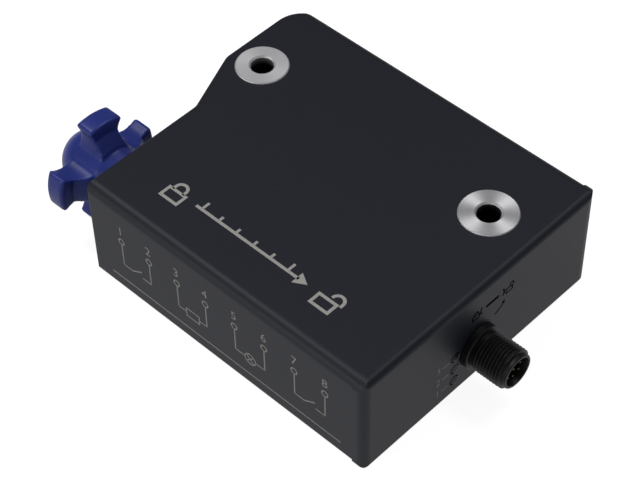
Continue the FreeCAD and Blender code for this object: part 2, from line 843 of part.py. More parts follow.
def detent_guide():
    """Channel that the detent slide runs in, with the wall its spring pushes on."""
    half = ear_half_x() + guide_gap
    x0 = cam_mid_x - half - guide_thk
    x1 = cam_mid_x + half + guide_thk
    y0 = slide_back_y() - slide_body
    seat_y = slide_back_y() + detent_spring_len
    floor = star_z - slide_half_z - guide_gap
    base = block(x0, x1, y0, seat_y + detent_seat_thk, tray_z, floor)
    cheek_top = star_z + slide_half_z
    near = block(x0, x0 + guide_thk, y0, seat_y, floor, cheek_top)
    far = block(x1 - guide_thk, x1, y0, seat_y, floor, cheek_top)
    seat = block(x0, x1, seat_y, seat_y + detent_seat_thk, floor, cheek_top)
    return [base, near, far, seat]


def release_supports():
    """Post that carries the release spindle's far end, and the rail under its link."""
    half = rel_post_half
    top = body_thk - rel_post_head_gap
    post = block(rel_post_x, rel_post_x + rel_post_thk, rel_y - half, rel_y + half, tray_z, top)
    rail_y = hook_y - hook_thk
    rail = block(link_x, link_x + link_thk, rail_y, rail_y + rail_len, tray_z, link_foot_z - seat_gap)
    return [post, rail]


def board_supports():
    """Posts under the control board and ribs that hold the connector board upright."""
    pieces = []
    for x in (board_x[0] + post_inset, board_x[1] - post_inset):
        for y in (board_y[0] + post_inset, board_y[1] - post_inset):
            pieces.append(rod(vec(x, y, tray_z), Z_DIR, board_z - seat_gap - tray_z, post_r))
    behind = io_board_x - seat_gap - rib_thk
    ahead = io_board_x + board_thk + seat_gap
    for y in (io_board_y[0], io_board_y[1] - rib_wid):
        for x in (behind, ahead):
            pieces.append(block(x, x + rib_thk, y, y + rib_wid, tray_z, rib_top))
    return pieces


# ---------------------------------------------------------------- manual release
def make_release_spindle():
    head_end = body_len - rel_recess
    head = rod(vec(cap_x, rel_y, rel_z), X_DIR, head_end - cap_x, rel_head_r)
    shoulder_x = cap_x - seal_gap - rel_shoulder_len
    shoulder = rod(vec(shoulder_x, rel_y, rel_z), X_DIR, rel_shoulder_len, rel_shoulder_r)
    shaft = rod(vec(rel_disc_x, rel_y, rel_z), X_DIR, cap_x - rel_disc_x, rel_shaft_r)
    disc = rod(vec(rel_disc_x, rel_y, rel_z), X_DIR, rel_disc_thk, rel_disc_r)
    pin = rod(vec(link_x, rel_y - rel_throw, rel_z), X_DIR, rel_disc_x - link_x, rel_pin_r)
    spindle = joined([head, shoulder, shaft, disc, pin])
    half = rel_slot_wid / 2
    reach = rel_slot_len / 2
    slot_x = head_end - rel_slot_depth
    slot = block(slot_x, head_end, rel_y - reach, rel_y + reach, rel_z - half, rel_z + half)
    groove_start = vec(cap_x + rel_groove_at, rel_y, rel_z)
    groove = pipe(groove_start, X_DIR, rel_groove_wid, rel_head_r + 1, rel_head_r - rel_groove)
    return spindle.cut(slot).cut(groove)


def make_release_seal():
    start = vec(cap_x + rel_groove_at + seal_gap, rel_y, rel_z)
    inner = rel_head_r - rel_groove + fit_gap
    return pipe(start, X_DIR, rel_groove_wid - 2 * seal_gap, rel_head_r, inner)


def make_release_link():
    x1 = link_x + link_thk
    slot_half = rel_pin_r + link_slack
    crank_y = rel_y - rel_throw
    slot_low = rel_z - rel_throw - rel_pin_r - link_end_play
    slot_high = rel_z + rel_pin_r + link_end_play
    head_y0 = crank_y - slot_half - link_rim
    head_y1 = crank_y + slot_half + link_rim
    head = block(link_x, x1, head_y0, head_y1, link_foot_z, slot_high + link_rim)
    foot_top = star_z + link_foot_up
    foot = block(link_x, x1, hook_y - hook_thk, head_y1, link_foot_z, foot_top)
    hook_x = disc_mid_x + bolt_spring_r + hook_side_gap
    hook = block(hook_x, x1, hook_y - hook_thk, hook_y, link_foot_z, foot_top)
    link = joined([head, foot, hook])
    return link.cut(block(link_x, x1, crank_y - slot_half, crank_y + slot_half, slot_low, slot_high))


# ---------------------------------------------------------------- boards and lights
def make_control_board():
    return block(board_x[0], board_x[1], board_y[0], board_y[1], board_z, board_z + board_thk)


def make_board_components():
    """Chips, relays and capacitors on the control board, as separate solids."""
    base = board_z + board_thk + seal_gap
    x0 = board_x[0]
    y0 = board_y[0]
    parts = []
    for x, y, length, width, height in chips + relays:
        parts.append(block(x0 + x, x0 + x + length, y0 + y, y0 + y + width, base, base + height))
    for y in capacitor_y:
        centre = vec(board_x[1] - capacitor_inset, y0 + y, base)
        parts.append(rod(centre, Z_DIR, capacitor_len, capacitor_r))
    return Part.makeCompound(parts)


def make_connector_board():
    end = io_board_x + board_thk
    top = body_thk - io_board_head_gap
    board = block(io_board_x, end, io_board_y[0], io_board_y[1], io_board_low, top)
    hole_r = rel_shaft_r + spindle_hole_gap
    board = board.cut(rod(vec(io_board_x - 1, rel_y, rel_z), X_DIR, board_thk + 2, hole_r))
    for y, z in pin_places():
        board = board.cut(rod(vec(io_board_x - 1, y, z), X_DIR, board_thk + 2, pin_r + fit_gap))
    return board


def make_status_leds():
    x0 = io_board_x + board_thk + seal_gap
    x1 = x0 + led_thk
    near = light_y - led_half
    far = light_y + led_half
    return Part.makeCompound([block(x0, x1, near, far, z - led_half, z + led_half) for z in light_z])


def make_light_pipes():
    start = io_board_x + board_thk + seal_gap + led_thk + led_gap
    length = body_len - start
    return Part.makeCompound([rod(vec(start, light_y, z), X_DIR, length, light_r) for z in light_z])


# ---------------------------------------------------------------- connector
def pin_places():
    """Eight contacts: one in the middle and the rest on a circle."""
    places = [(plug_y, plug_z)]
    for i in range(pin_ring_count):
        angle = math.radians(90 + 360 / pin_ring_count * (i + 0.5))
        places.append((plug_y + pin_circle_r * math.cos(angle), plug_z + pin_circle_r * math.sin(angle)))
    return places


def seal_ring_room():
    """Recess in the cap's face for the ring under the connector's flange."""
    start = vec(body_len - seal_ring_thk, plug_y, plug_z)
    return rod(start, X_DIR, seal_ring_thk + 1, seal_ring_r + seal_gap)


def make_connector_shell():
    face = body_len + seal_gap
    tip = body_len + plug_len
    points = [
        (cap_x - plug_tail, plug_bore_r),
        (cap_x - plug_tail, plug_neck_r),
        (face, plug_neck_r),
        (face, plug_flange_r),
        (face + plug_flange_thk, plug_flange_r),
        (face + plug_flange_thk + plug_flange_chamfer, plug_flange_r - plug_flange_chamfer),
        (face + plug_flange_thk + plug_flange_chamfer, plug_neck_r),
        (face + plug_neck_end, plug_neck_r),
        (face + plug_neck_end, plug_thread_r),
        (body_len + plug_thread_end, plug_thread_r),
        (body_len + plug_thread_end, plug_tip_r),
        (tip - plug_tip_chamfer, plug_tip_r),
        (tip, plug_tip_r - plug_tip_chamfer),
        (tip, plug_bore_r),
    ]
    shell = turned(points, plug_y, plug_z)
    key_x = tip - plug_bore_depth + seal_gap
    half = plug_key_wid / 2
    low = plug_bore_r - plug_key
    high = plug_bore_r + plug_key_root
    key = block(key_x, tip - plug_key_back, plug_y - half, plug_y + half, plug_z + low, plug_z + high)
    return joined([shell, key])


def make_connector_seal():
    start = vec(body_len - seal_ring_thk + seal_gap, plug_y, plug_z)
    return pipe(start, X_DIR, seal_ring_thk - seal_gap, seal_ring_r, plug_neck_r + fit_gap)


def make_connector_nut():
    start = cap_x - seal_gap - nut_thk
    corners = []
    for i in range(6):
        angle = math.radians(60 * i)
        corners.append((plug_y + nut_r * math.cos(angle), plug_z + nut_r * math.sin(angle), 0))
    nut = long_prism(corners, start, start + nut_thk)
    return nut.cut(rod(vec(start, plug_y, plug_z), X_DIR, nut_thk, plug_neck_r + fit_gap))


def make_contact_insert():
    front = body_len + plug_len - plug_bore_depth
    back = cap_x - insert_tail + insert_flange_thk
    body = rod(vec(back, plug_y, plug_z), X_DIR, front - back, plug_bore_r - fit_gap)
    flange_x = cap_x - plug_tail - seal_gap - insert_flange_thk
    flange = rod(vec(flange_x, plug_y, plug_z), X_DIR, insert_flange_thk, insert_flange_r)
    insert = joined([body, flange])
    for y, z in pin_places():
        insert = insert.cut(rod(vec(back - 1, y, z), X_DIR, front - back + 4, pin_r + fit_gap))
    return insert


def make_contact_pins():
    start = io_board_x - pin_through
    end = body_len + plug_len - pin_tip_back
    pins = []
    for y, z in pin_places():
        bar = rod(vec(start, y, z), X_DIR, end - pin_r - start, pin_r)
        pins.append(bar.fuse(ball(vec(end - pin_r, y, z), pin_r)).removeSplitter())
    return Part.makeCompound(pins)


def save(name, shape):
    shape.translate(-datum)
    shape.exportStep("parts/" + name + ".step")


MAKERS = {
    "housing": make_housing,
    "end_cap": make_end_cap,
    "cap_seal": make_cap_seal,
    "horn_fixing_bush": lambda: make_fixing_bush(0),
    "rear_fixing_bush": lambda: make_fixing_bush(1),
    "star_wheel": make_star_wheel,
    "star_shaft": make_star_shaft,
    "retaining_clip": make_retaining_clip,
    "shaft_seal": make_shaft_seal,
    "front_bearing_bush": make_front_bearing_bush,
    "rear_bearing_bush": make_rear_bearing_bush,
    "detent_cam": make_detent_cam,
    "lock_disc": make_lock_disc,
    "cam_spacer": make_cam_spacer,
    "disc_spacer": make_disc_spacer,
    "reader_coil_former": make_coil_former,
    "reader_coil": make_reader_coil,
    "carrier": make_carrier,
    "detent_slide": make_detent_slide,
    "detent_roller": make_detent_roller,
    "roller_pin": make_roller_pin,
    "detent_spring": make_detent_spring,
    "locking_bolt": make_locking_bolt,
    "bolt_return_spring": make_return_spring,
    "plunger": make_plunger,
    "pole_piece": make_pole_piece,
    "solenoid_yoke": make_solenoid_yoke,
    "bobbin": make_bobbin,
    "solenoid_coil": make_solenoid_coil,
    "release_spindle": make_release_spindle,
    "release_seal": make_release_seal,
    "release_link": make_release_link,
    "control_board": make_control_board,
    "board_components": make_board_components,
    "connector_board": make_connector_board,
    "status_leds": make_status_leds,
    "light_pipes": make_light_pipes,
    "connector_shell": make_connector_shell,
    "connector_seal": make_connector_seal,
    "connector_nut": make_connector_nut,
    "contact_insert": make_contact_insert,
    "contact_pins": make_contact_pins,
}

os.makedirs("parts", exist_ok=True)
for node, maker in MAKERS.items():
    save(node, maker())
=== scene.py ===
"""Looks of the tongue interlock switch: materials, fine pieces, printed marks and stage."""
import json
import math

import bmesh
import bpy
from bpy.props import FloatProperty, FloatVectorProperty, IntProperty, PointerProperty
from mathutils import Matrix, Vector


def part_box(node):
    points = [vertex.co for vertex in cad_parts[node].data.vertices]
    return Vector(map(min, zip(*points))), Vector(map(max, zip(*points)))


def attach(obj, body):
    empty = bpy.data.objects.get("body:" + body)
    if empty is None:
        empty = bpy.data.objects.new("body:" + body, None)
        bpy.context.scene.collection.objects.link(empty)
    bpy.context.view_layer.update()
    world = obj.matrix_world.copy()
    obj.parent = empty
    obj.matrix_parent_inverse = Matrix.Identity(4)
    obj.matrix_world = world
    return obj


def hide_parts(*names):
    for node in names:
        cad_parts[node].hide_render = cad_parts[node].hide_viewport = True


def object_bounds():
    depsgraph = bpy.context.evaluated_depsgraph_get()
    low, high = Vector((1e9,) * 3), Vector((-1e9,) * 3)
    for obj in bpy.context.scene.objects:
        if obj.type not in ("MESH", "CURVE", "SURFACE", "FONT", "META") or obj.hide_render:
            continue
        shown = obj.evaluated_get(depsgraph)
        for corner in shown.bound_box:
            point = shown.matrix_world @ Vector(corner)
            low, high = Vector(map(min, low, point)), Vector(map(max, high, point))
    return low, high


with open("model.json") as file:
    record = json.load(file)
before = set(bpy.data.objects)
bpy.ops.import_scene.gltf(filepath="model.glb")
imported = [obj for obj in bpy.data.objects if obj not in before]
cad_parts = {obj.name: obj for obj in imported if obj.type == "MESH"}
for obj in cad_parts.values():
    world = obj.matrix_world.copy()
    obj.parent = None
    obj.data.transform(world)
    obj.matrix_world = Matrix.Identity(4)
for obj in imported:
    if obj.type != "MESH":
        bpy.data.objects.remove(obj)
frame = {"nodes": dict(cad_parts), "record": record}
cad_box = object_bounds()

bl_info = {
    "name": "Tongue interlock switch",
    "version": (1, 0, 0),
    "blender": (4, 5, 0),
    "location": "3D View > Sidebar > Interlock",
    "description": "Dresses the solids of a tongue interlock switch",
    "category": "Object",
}

MM = 0.001


# ------------------------------------------------------------ places read from the solids
def middle(node):
    low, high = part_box(node)
    return (low + high) / 2


CASE_LENGTH = 100 * MM
PLUG = middle("connector_shell")
RELEASE = middle("release_seal")
FACE_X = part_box("end_cap")[1].x
FRONT_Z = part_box("housing")[1].z
SIDE_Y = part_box("housing")[0].y
WHEEL_FACE_X = FACE_X - CASE_LENGTH

# ------------------------------------------------------------ fixed proportions
ROUGH_SPREAD = 0.06       # how far roughness swings round its middle
SHALLOW = 0.01 * MM       # relief of fine mouldings and of turning marks
SOFT_GRAIN = 0.3 * MM     # grain of rubber and small mouldings
DRIFT_DARK = 0.6          # tone at the dark end of a moulding's slow drift
FLECK_EDGES = (0.12, 0.38)
FONT_SCALE = 1.4          # type size over the height of a figure
MIN_MITRE = 0.4           # keeps sharp corners of a stroke from running out

# Plug body in millimetres: distance out from the cap, then radius
PLUG_BASE = (
    (-1.5, 5.15), (0.06, 5.15), (0.06, 6.45), (0.2, 6.6), (1.9, 6.6), (2.25, 6.35), (2.35, 5.45),
    (3.25, 5.45), (3.4, 5.8),
)
PLUG_NOSE = (
    (12.15, 5.4), (12.3, 5.15), (13.35, 5.15), (13.6, 4.95), (13.6, 4.42), (13.4, 4.3), (5.65, 4.3),
    (-1.5, 4.3),
)

# Soft lamps: name, place, width in metres, power in watts
LAMPS = (
    ("key_lamp", (-0.56, -0.16, 1.05), 0.35, 5.6),
    ("back_lamp", (0.18, 0.56, 1.04), 0.35, 3.4),
    ("front_lamp", (-0.35, -1.15, 0.38), 0.5, 4.5),
    ("side_lamp", (1.15, -0.3, 0.38), 0.5, 1.3),
)

# Works inside, by material slot: name, colours and roughness
METALS = {
    "bright_steel": ("Ground steel", (0.45, 0.45, 0.46), (0.62, 0.62, 0.63), 0.3),
    "spring_steel": ("Spring wire", (0.3, 0.3, 0.31), (0.45, 0.45, 0.46), 0.35),
    "yoke_steel": ("Zinc plate", (0.5, 0.51, 0.5), (0.68, 0.68, 0.66), 0.38),
    "bronze": ("Sintered bronze", (0.42, 0.28, 0.13), (0.58, 0.42, 0.22), 0.45),
    "copper_wire": ("Copper winding", (0.5, 0.2, 0.09), (0.72, 0.34, 0.18), 0.35),
}
PLASTICS = {
    "carrier_plastic": ("Carrier plastic", (0.11, 0.115, 0.12), 0.5),
    "spool_plastic": ("Spool plastic", (0.6, 0.59, 0.52), 0.45),
    "board_laminate": ("Board laminate", (0.012, 0.11, 0.045), 0.35),
    "component_plastic": ("Component plastic", (0.02, 0.02, 0.02), 0.4),
    "led_plastic": ("Lamp chip", (0.7, 0.68, 0.55), 0.3),
}


# ------------------------------------------------------------ settings
class CaseSettings(bpy.types.PropertyGroup):
    colour: FloatVectorProperty(
        name="Case colour", description="Moulded case and end cap", subtype="COLOR", size=3,
        default=(0.0090, 0.0105, 0.0185), min=0, max=1,
    )
    fleck_colour: FloatVectorProperty(
        name="Fleck colour", description="Pale flecks in the moulding", subtype="COLOR", size=3,
        default=(0.020, 0.0205, 0.026), min=0, max=1,
    )
    roughness: FloatProperty(
        name="Case roughness", description="Matt finish", subtype="FACTOR", default=0.5, min=0, max=1
    )
    sheen: FloatProperty(
        name="Case sheen", description="Strength of its reflections", subtype="FACTOR", default=0.26,
        min=0, max=1,
    )
    grain_size: FloatProperty(
        name="Grain size", description="Size of the moulded texture", default=0.28 * MM, unit="LENGTH"
    )
    grain_depth: FloatProperty(
        name="Grain depth", description="Depth of the moulded texture", default=0.02 * MM, unit="LENGTH"
    )


class MetalSettings(bpy.types.PropertyGroup):
    bush_colour: FloatVectorProperty(
        name="Bush colour", description="Turned fixing bushes", subtype="COLOR", size=3,
        default=(0.78, 0.78, 0.80), min=0, max=1,
    )
    bright_sheen: FloatProperty(
        name="Bright turning sheen", description="Stretch of the rear bush's sheen across its marks",
        subtype="FACTOR", default=0.69, min=0, max=1,
    )
    bright_roughness: FloatProperty(
        name="Bright roughness", description="Face of the rear bush", subtype="FACTOR", default=0.4,
        min=0, max=1,
    )
    bright_tone: FloatProperty(
        name="Bright tone", description="Rear bush's share of the bush colour", subtype="FACTOR",
        default=1.2, min=0, max=1.2,
    )
    satin_sheen: FloatProperty(
        name="Satin turning sheen", description="Stretch of the horn bush's sheen across its marks",
        subtype="FACTOR", default=0.25, min=0, max=1,
    )
    satin_roughness: FloatProperty(
        name="Satin roughness", description="Face of the horn bush", subtype="FACTOR", default=0.5,
        min=0, max=1,
    )
    satin_tone: FloatProperty(
        name="Satin tone", description="Horn bush's share of the bush colour", subtype="FACTOR",
        default=0.98, min=0, max=1.2,
    )
    # Painted shade: the bushes' colour darkens to this down the bore, standing in for the shade inside it
    painted_bore_shade: FloatVectorProperty(
        name="Bore colour", description="Oiled skin inside the bushes", subtype="COLOR", size=3,
        default=(0.035, 0.030, 0.024), min=0, max=1,
    )
    bore_shade: FloatProperty(
        name="Bore shade", description="Depth at which the bore's skin is fully dark", default=2.5 * MM,
        unit="LENGTH",
    )
    groove_pitch: FloatProperty(
        name="Groove pitch", description="Distance between turning marks", default=0.22 * MM, unit="LENGTH"
    )


class WheelSettings(bpy.types.PropertyGroup):
    colour: FloatVectorProperty(
        name="Wheel colour", description="Moulded locking wheel", subtype="COLOR", size=3,
        default=(0.023, 0.037, 0.222), min=0, max=1,
    )
    roughness: FloatProperty(
        name="Wheel roughness", description="Moulded finish", subtype="FACTOR", default=0.36, min=0, max=1
    )
    sheen: FloatProperty(
        name="Wheel sheen", description="Strength of its reflections", subtype="FACTOR", default=0.22,
        min=0, max=1,
    )
    grain_size: FloatProperty(
        name="Wheel grain size", description="Size of its texture", default=0.8 * MM, unit="LENGTH"
    )
    grain_depth: FloatProperty(
        name="Wheel grain depth", description="Depth of its texture", default=0.012 * MM, unit="LENGTH"
    )
    skin_size: FloatProperty(
        name="Skin size", description="Facet size of the softened wheel", default=0.35 * MM, unit="LENGTH"
    )
    softening: IntProperty(name="Softening", description="Rounds of smoothing", default=4, min=0)
    growth: FloatProperty(
        name="Growth", description="Made good after smoothing", default=0.22 * MM, unit="LENGTH"
    )


class PlugSettings(bpy.types.PropertyGroup):
    colour: FloatVectorProperty(
        name="Plug colour", description="Moulded plug body", subtype="COLOR", size=3,
        default=(0.0048, 0.0048, 0.0060), min=0, max=1,
    )
    roughness: FloatProperty(
        name="Plug roughness", description="Moulded finish", subtype="FACTOR", default=0.46, min=0, max=1
    )
    sheen: FloatProperty(
        name="Plug sheen", description="Strength of its reflections", subtype="FACTOR", default=0.25,
        min=0, max=1,
    )
    # The contacts' tones are gold dimmed far down: painted shade for the pins deep inside the plug's shell
    contact_shade_dark: FloatVectorProperty(
        name="Contact shade", description="Darker tone of the contacts", subtype="COLOR", size=3,
        default=(0.07, 0.055, 0.03), min=0, max=1,
    )
    contact_shade_pale: FloatVectorProperty(
        name="Contact tone", description="Lighter tone of the contacts", subtype="COLOR", size=3,
        default=(0.15, 0.12, 0.07), min=0, max=1,
    )
    thread_from: FloatProperty(
        name="Thread from", description="Its first turn, out from the cap", default=3.5 * MM, unit="LENGTH"
    )
    thread_to: FloatProperty(
        name="Thread to", description="Its last turn, out from the cap", default=12.1 * MM, unit="LENGTH"
    )
    crest: FloatProperty(
        name="Crest radius", description="Radius over the thread", default=5.97 * MM, unit="LENGTH"
    )
    thread_pitch: FloatProperty(
        name="Thread pitch", description="Pitch of the plug's thread", default=1.0 * MM, unit="LENGTH"
    )
    thread_depth: FloatProperty(
        name="Thread depth", description="Crest to root", default=0.55 * MM, unit="LENGTH"
    )
    segments: IntProperty(name="Segments", description="Facets round the plug", default=96, min=24)
    turn_steps: IntProperty(name="Steps a turn", description="Rings along one pitch", default=12, min=6)


class MarkSettings(bpy.types.PropertyGroup):
    # Also the ink of the painted highlight arcs round the status windows
    print_colour: FloatVectorProperty(
        name="Print colour", description="Light grey print", subtype="COLOR", size=3,
        default=(0.36, 0.35, 0.33), min=0, max=1,
    )
    # Also the colour of the painted shade arcs round the status windows
    engraved_and_shade_colour: FloatVectorProperty(
        name="Engraved colour", description="Dark marks round the release", subtype="COLOR", size=3,
        default=(0.003, 0.003, 0.004), min=0, max=1,
    )
    thickness: FloatProperty(
        name="Print thickness", description="How far print stands proud", default=0.02 * MM, unit="LENGTH"
    )
    front_stroke: FloatProperty(
        name="Front stroke", description="Line width on the front", default=0.9 * MM, unit="LENGTH"
    )
    side_stroke: FloatProperty(
        name="Side stroke", description="Line width on the long side", default=0.42 * MM, unit="LENGTH"
    )
    cap_stroke: FloatProperty(
        name="Cap stroke", description="Line width round the release", default=0.5 * MM, unit="LENGTH"
    )


class StageSettings(bpy.types.PropertyGroup):
    azimuth: FloatProperty(
        name="Camera azimuth", description="0 looks along +Y", default=math.radians(45.605), subtype="ANGLE"
    )
    elevation: FloatProperty(
        name="Camera elevation", description="Above the horizon", default=math.radians(49.281),
        subtype="ANGLE",
    )
    roll: FloatProperty(
        name="Camera roll", description="Turn about the line of sight", default=math.radians(-2.017),
        subtype="ANGLE",
    )
    location: FloatVectorProperty(
        name="Camera place", description="Camera position", subtype="TRANSLATION", size=3,
        default=(0.24454, -0.27018, 0.39555),
    )
    focal_length: FloatProperty(
        name="Lens", description="Focal length in millimetres", unit="CAMERA", default=107.80
    )
    shift: FloatVectorProperty(
        name="Lens shift", description="Sideways and upward shift", subtype="XYZ", size=2,
        default=(0.0402, 0.0721),
    )
    floor_colour: FloatVectorProperty(
        name="Floor colour", description="Plain pale floor", subtype="COLOR", size=3,
        default=(0.9, 0.9, 0.9), min=0, max=1,
    )
    floor_glow: FloatProperty(
        name="Floor glow", description="Brightness of the floor as seen", subtype="FACTOR", default=0.92,
        min=0, max=1,
    )
    floor_mirrored: FloatProperty(
        name="Floor mirrored", description="Share of that glow in reflections", subtype="FACTOR",
        default=0.74, min=0, max=1,
    )
    floor_bounce: FloatProperty(
        name="Floor bounce", description="Share of its colour that scatters light", subtype="FACTOR",
        default=0.26, min=0, max=1,
    )
    room_light: FloatProperty(
        name="Room light", description="Even light from all round", subtype="FACTOR", default=0.13,
        min=0, max=1,
    )
    lamp_power: FloatProperty(
        name="Lamp power", description="Strength of the soft lamps", subtype="FACTOR", default=1.0, min=0
    )


# ------------------------------------------------------------ node helpers
def add_node(tree, kind, **values):
    """New node with inputs set by name, or by index written as in0, in1 and so on."""
    node = tree.nodes.new(kind)
    for key, value in values.items():
        if hasattr(node, key):
            setattr(node, key, value)
        elif key.startswith("in") and key[2:].isdigit():
            node.inputs[int(key[2:])].default_value = value
        else:
            node.inputs[key.replace("_", " ").title()].default_value = value
    return node


def new_group(name, inputs, outputs):
    """Node group with float inputs given as (name, default) and float outputs given by name."""
    tree = bpy.data.node_groups.new(name, "ShaderNodeTree")
    for label, value in inputs:
        socket = tree.interface.new_socket(label, in_out="INPUT", socket_type="NodeSocketFloat")
        socket.default_value = value
    for label in outputs:
        tree.interface.new_socket(label, in_out="OUTPUT", socket_type="NodeSocketFloat")
    return tree, tree.nodes.new("NodeGroupInput"), tree.nodes.new("NodeGroupOutput")


def grain_group():
    """Moulded texture: Height for bump, Fleck as a mask of pale grains, Drift as slow variation."""
    name = "Moulded grain"
    if name in bpy.data.node_groups:
        return bpy.data.node_groups[name]
    inputs = (("Size", 0.3 * MM), ("Drift Size", 30 * MM))
    tree, source, sink = new_group(name, inputs, ("Height", "Fleck", "Drift"))
    place = add_node(tree, "ShaderNodeTexCoord")
    per_size = add_node(tree, "ShaderNodeMath", operation="DIVIDE", in0=1.0)
    per_drift = add_node(tree, "ShaderNodeMath", operation="DIVIDE", in0=1.0)
    fine = add_node(tree, "ShaderNodeTexNoise", in3=2.0)
    fleck = add_node(tree, "ShaderNodeTexVoronoi")
    near, far = FLECK_EDGES
    spots = add_node(tree, "ShaderNodeMapRange", in1=near, in2=far, in3=1.0, in4=0.0)
    drift = add_node(tree, "ShaderNodeTexNoise", in3=3.0)
    tree.links.new(source.outputs["Size"], per_size.inputs[1])
    tree.links.new(source.outputs["Drift Size"], per_drift.inputs[1])
    for node, scale in ((fine, per_size), (fleck, per_size), (drift, per_drift)):
        tree.links.new(place.outputs["Object"], node.inputs["Vector"])
        tree.links.new(scale.outputs[0], node.inputs["Scale"])
    tree.links.new(fleck.outputs["Distance"], spots.inputs["Value"])
    tree.links.new(fine.outputs[0], sink.inputs["Height"])
    tree.links.new(spots.outputs[0], sink.inputs["Fleck"])
    tree.links.new(drift.outputs[0], sink.inputs["Drift"])
    return tree


def turning_group():
    """Rings round an axis along Z through Centre X, Centre Y: Rings from 0 to 1."""
    name = "Turning marks"
    if name in bpy.data.node_groups:
        return bpy.data.node_groups[name]
    inputs = (("Centre X", 0.0), ("Centre Y", 0.0), ("Pitch", 0.2 * MM))
    tree, source, sink = new_group(name, inputs, ("Rings",))
    place = add_node(tree, "ShaderNodeTexCoord")
    split = add_node(tree, "ShaderNodeSeparateXYZ")
    flat = add_node(tree, "ShaderNodeCombineXYZ")
    radius = add_node(tree, "ShaderNodeVectorMath", operation="LENGTH")
    count = add_node(tree, "ShaderNodeMath", operation="DIVIDE")
    rings = add_node(tree, "ShaderNodeTexNoise", noise_dimensions="1D", in2=1.0, in3=1.0)
    tree.links.new(place.outputs["Object"], split.inputs[0])
    for axis, centre in enumerate(("Centre X", "Centre Y")):
        offset = add_node(tree, "ShaderNodeMath", operation="SUBTRACT")
        tree.links.new(split.outputs[axis], offset.inputs[0])
        tree.links.new(source.outputs[centre], offset.inputs[1])
        tree.links.new(offset.outputs[0], flat.inputs[axis])
    tree.links.new(flat.outputs[0], radius.inputs[0])
    tree.links.new(radius.outputs["Value"], count.inputs[0])
    tree.links.new(source.outputs["Pitch"], count.inputs[1])
    tree.links.new(count.outputs[0], rings.inputs["W"])
    tree.links.new(rings.outputs[0], sink.inputs["Rings"])
    return tree


def new_material(name, **values):
    """Material with a Principled BSDF whose constant values are set on its own sockets."""
    material = bpy.data.materials.new(name)
    material.use_nodes = True
    shader = material.node_tree.nodes["Principled BSDF"]
    for key, value in values.items():
        shader.inputs[key.replace("_", " ").title().replace("Ior", "IOR")].default_value = value
    return material, material.node_tree, shader


def use_group(tree, group, **values):
    node = tree.nodes.new("ShaderNodeGroup")
    node.node_tree = group
    for key, value in values.items():
        node.inputs[key.replace("_", " ").title()].default_value = value
    return node


def bump_from(tree, shader, height, depth, strength=1.0):
    bump = add_node(tree, "ShaderNodeBump", strength=strength, distance=depth)
    tree.links.new(height, bump.inputs["Height"])
    tree.links.new(bump.outputs[0], shader.inputs["Normal"])


def roughness_from(tree, shader, height, roughness, spread=ROUGH_SPREAD):
    """Roughness that swings round its middle with a height."""
    rough = add_node(tree, "ShaderNodeMapRange", in3=roughness - spread, in4=roughness + spread)
    tree.links.new(height, rough.inputs["Value"])
    tree.links.new(rough.outputs[0], shader.inputs["Roughness"])


def mix_colours(tree, factor, first, second):
    """Colour mix whose factor is a node's output; returns the colour socket."""
    mix = add_node(tree, "ShaderNodeMix", data_type="RGBA")
    tree.links.new(factor, mix.inputs["Factor"])
    for index, colour in ((6, first), (7, second)):
        if hasattr(colour, "node"):
            tree.links.new(colour, mix.inputs[index])
        else:
            mix.inputs[index].default_value = (*colour, 1)
    return mix.outputs[2]


def scaled(colour, factor):
    return [channel * factor for channel in colour]


def moulded(name, colour, fleck_colour, roughness, size, depth, drift=0.25, **values):
    """Moulded plastic: grain in bump and colour, slow drift in tone."""
    material, tree, shader = new_material(name, **values)
    grain = use_group(tree, grain_group(), size=size)
    flecked = mix_colours(tree, grain.outputs["Fleck"], colour, fleck_colour)
    soften = add_node(tree, "ShaderNodeMath", operation="MULTIPLY", in1=drift)
    tree.links.new(grain.outputs["Drift"], soften.inputs[0])
    tone = mix_colours(tree, soften.outputs[0], flecked, scaled(colour, DRIFT_DARK))
    tree.links.new(tone, shader.inputs["Base Color"])
    roughness_from(tree, shader, grain.outputs["Height"], roughness)
    bump_from(tree, shader, grain.outputs["Height"], depth)
    return material


def grained(name, dark, pale, size, roughness, spread, **values):
    """Surface whose colour and roughness vary with the grain, without relief."""
    material, tree, shader = new_material(name, **values)
    height = use_group(tree, grain_group(), size=size).outputs["Height"]
    tree.links.new(mix_colours(tree, height, dark, pale), shader.inputs["Base Color"])
    roughness_from(tree, shader, height, roughness, spread)
    return material


def engraved_and_shade_material(context):
    """Dull black of the marks sunk in the end cap, shared by all of them and by the painted shade round the
    status windows.
    """
    name = "Engraved mark"
    if name in bpy.data.materials:
        return bpy.data.materials[name]
    colour = context.scene.switch_marks.engraved_and_shade_colour
    return moulded(name, colour, colour, 0.8, SOFT_GRAIN, SHALLOW, specular_ior_level=0.0)


def print_material(context, name, strength=1.0):
    """Pale print, a little worn and uneven, weaker where strength is under 1; also the painted highlights
    round the status windows.
    """
    colour = scaled(context.scene.switch_marks.print_colour, strength)
    return grained(name, scaled(colour, 0.6), scaled(colour, 1.25), 0.35 * MM, 0.6, 0.1)


def finish_node(name, material):
    """Gives a solid from the frame its material."""
    data = frame["nodes"][name].data
    data.materials.clear()
    data.materials.append(material)


def is_finished(solid):
    """True where a solid wears one of the grained or turned materials."""
    materials = [material for material in solid.data.materials if material and material.use_nodes]
    return any(node.type == "GROUP" for material in materials for node in material.node_tree.nodes)


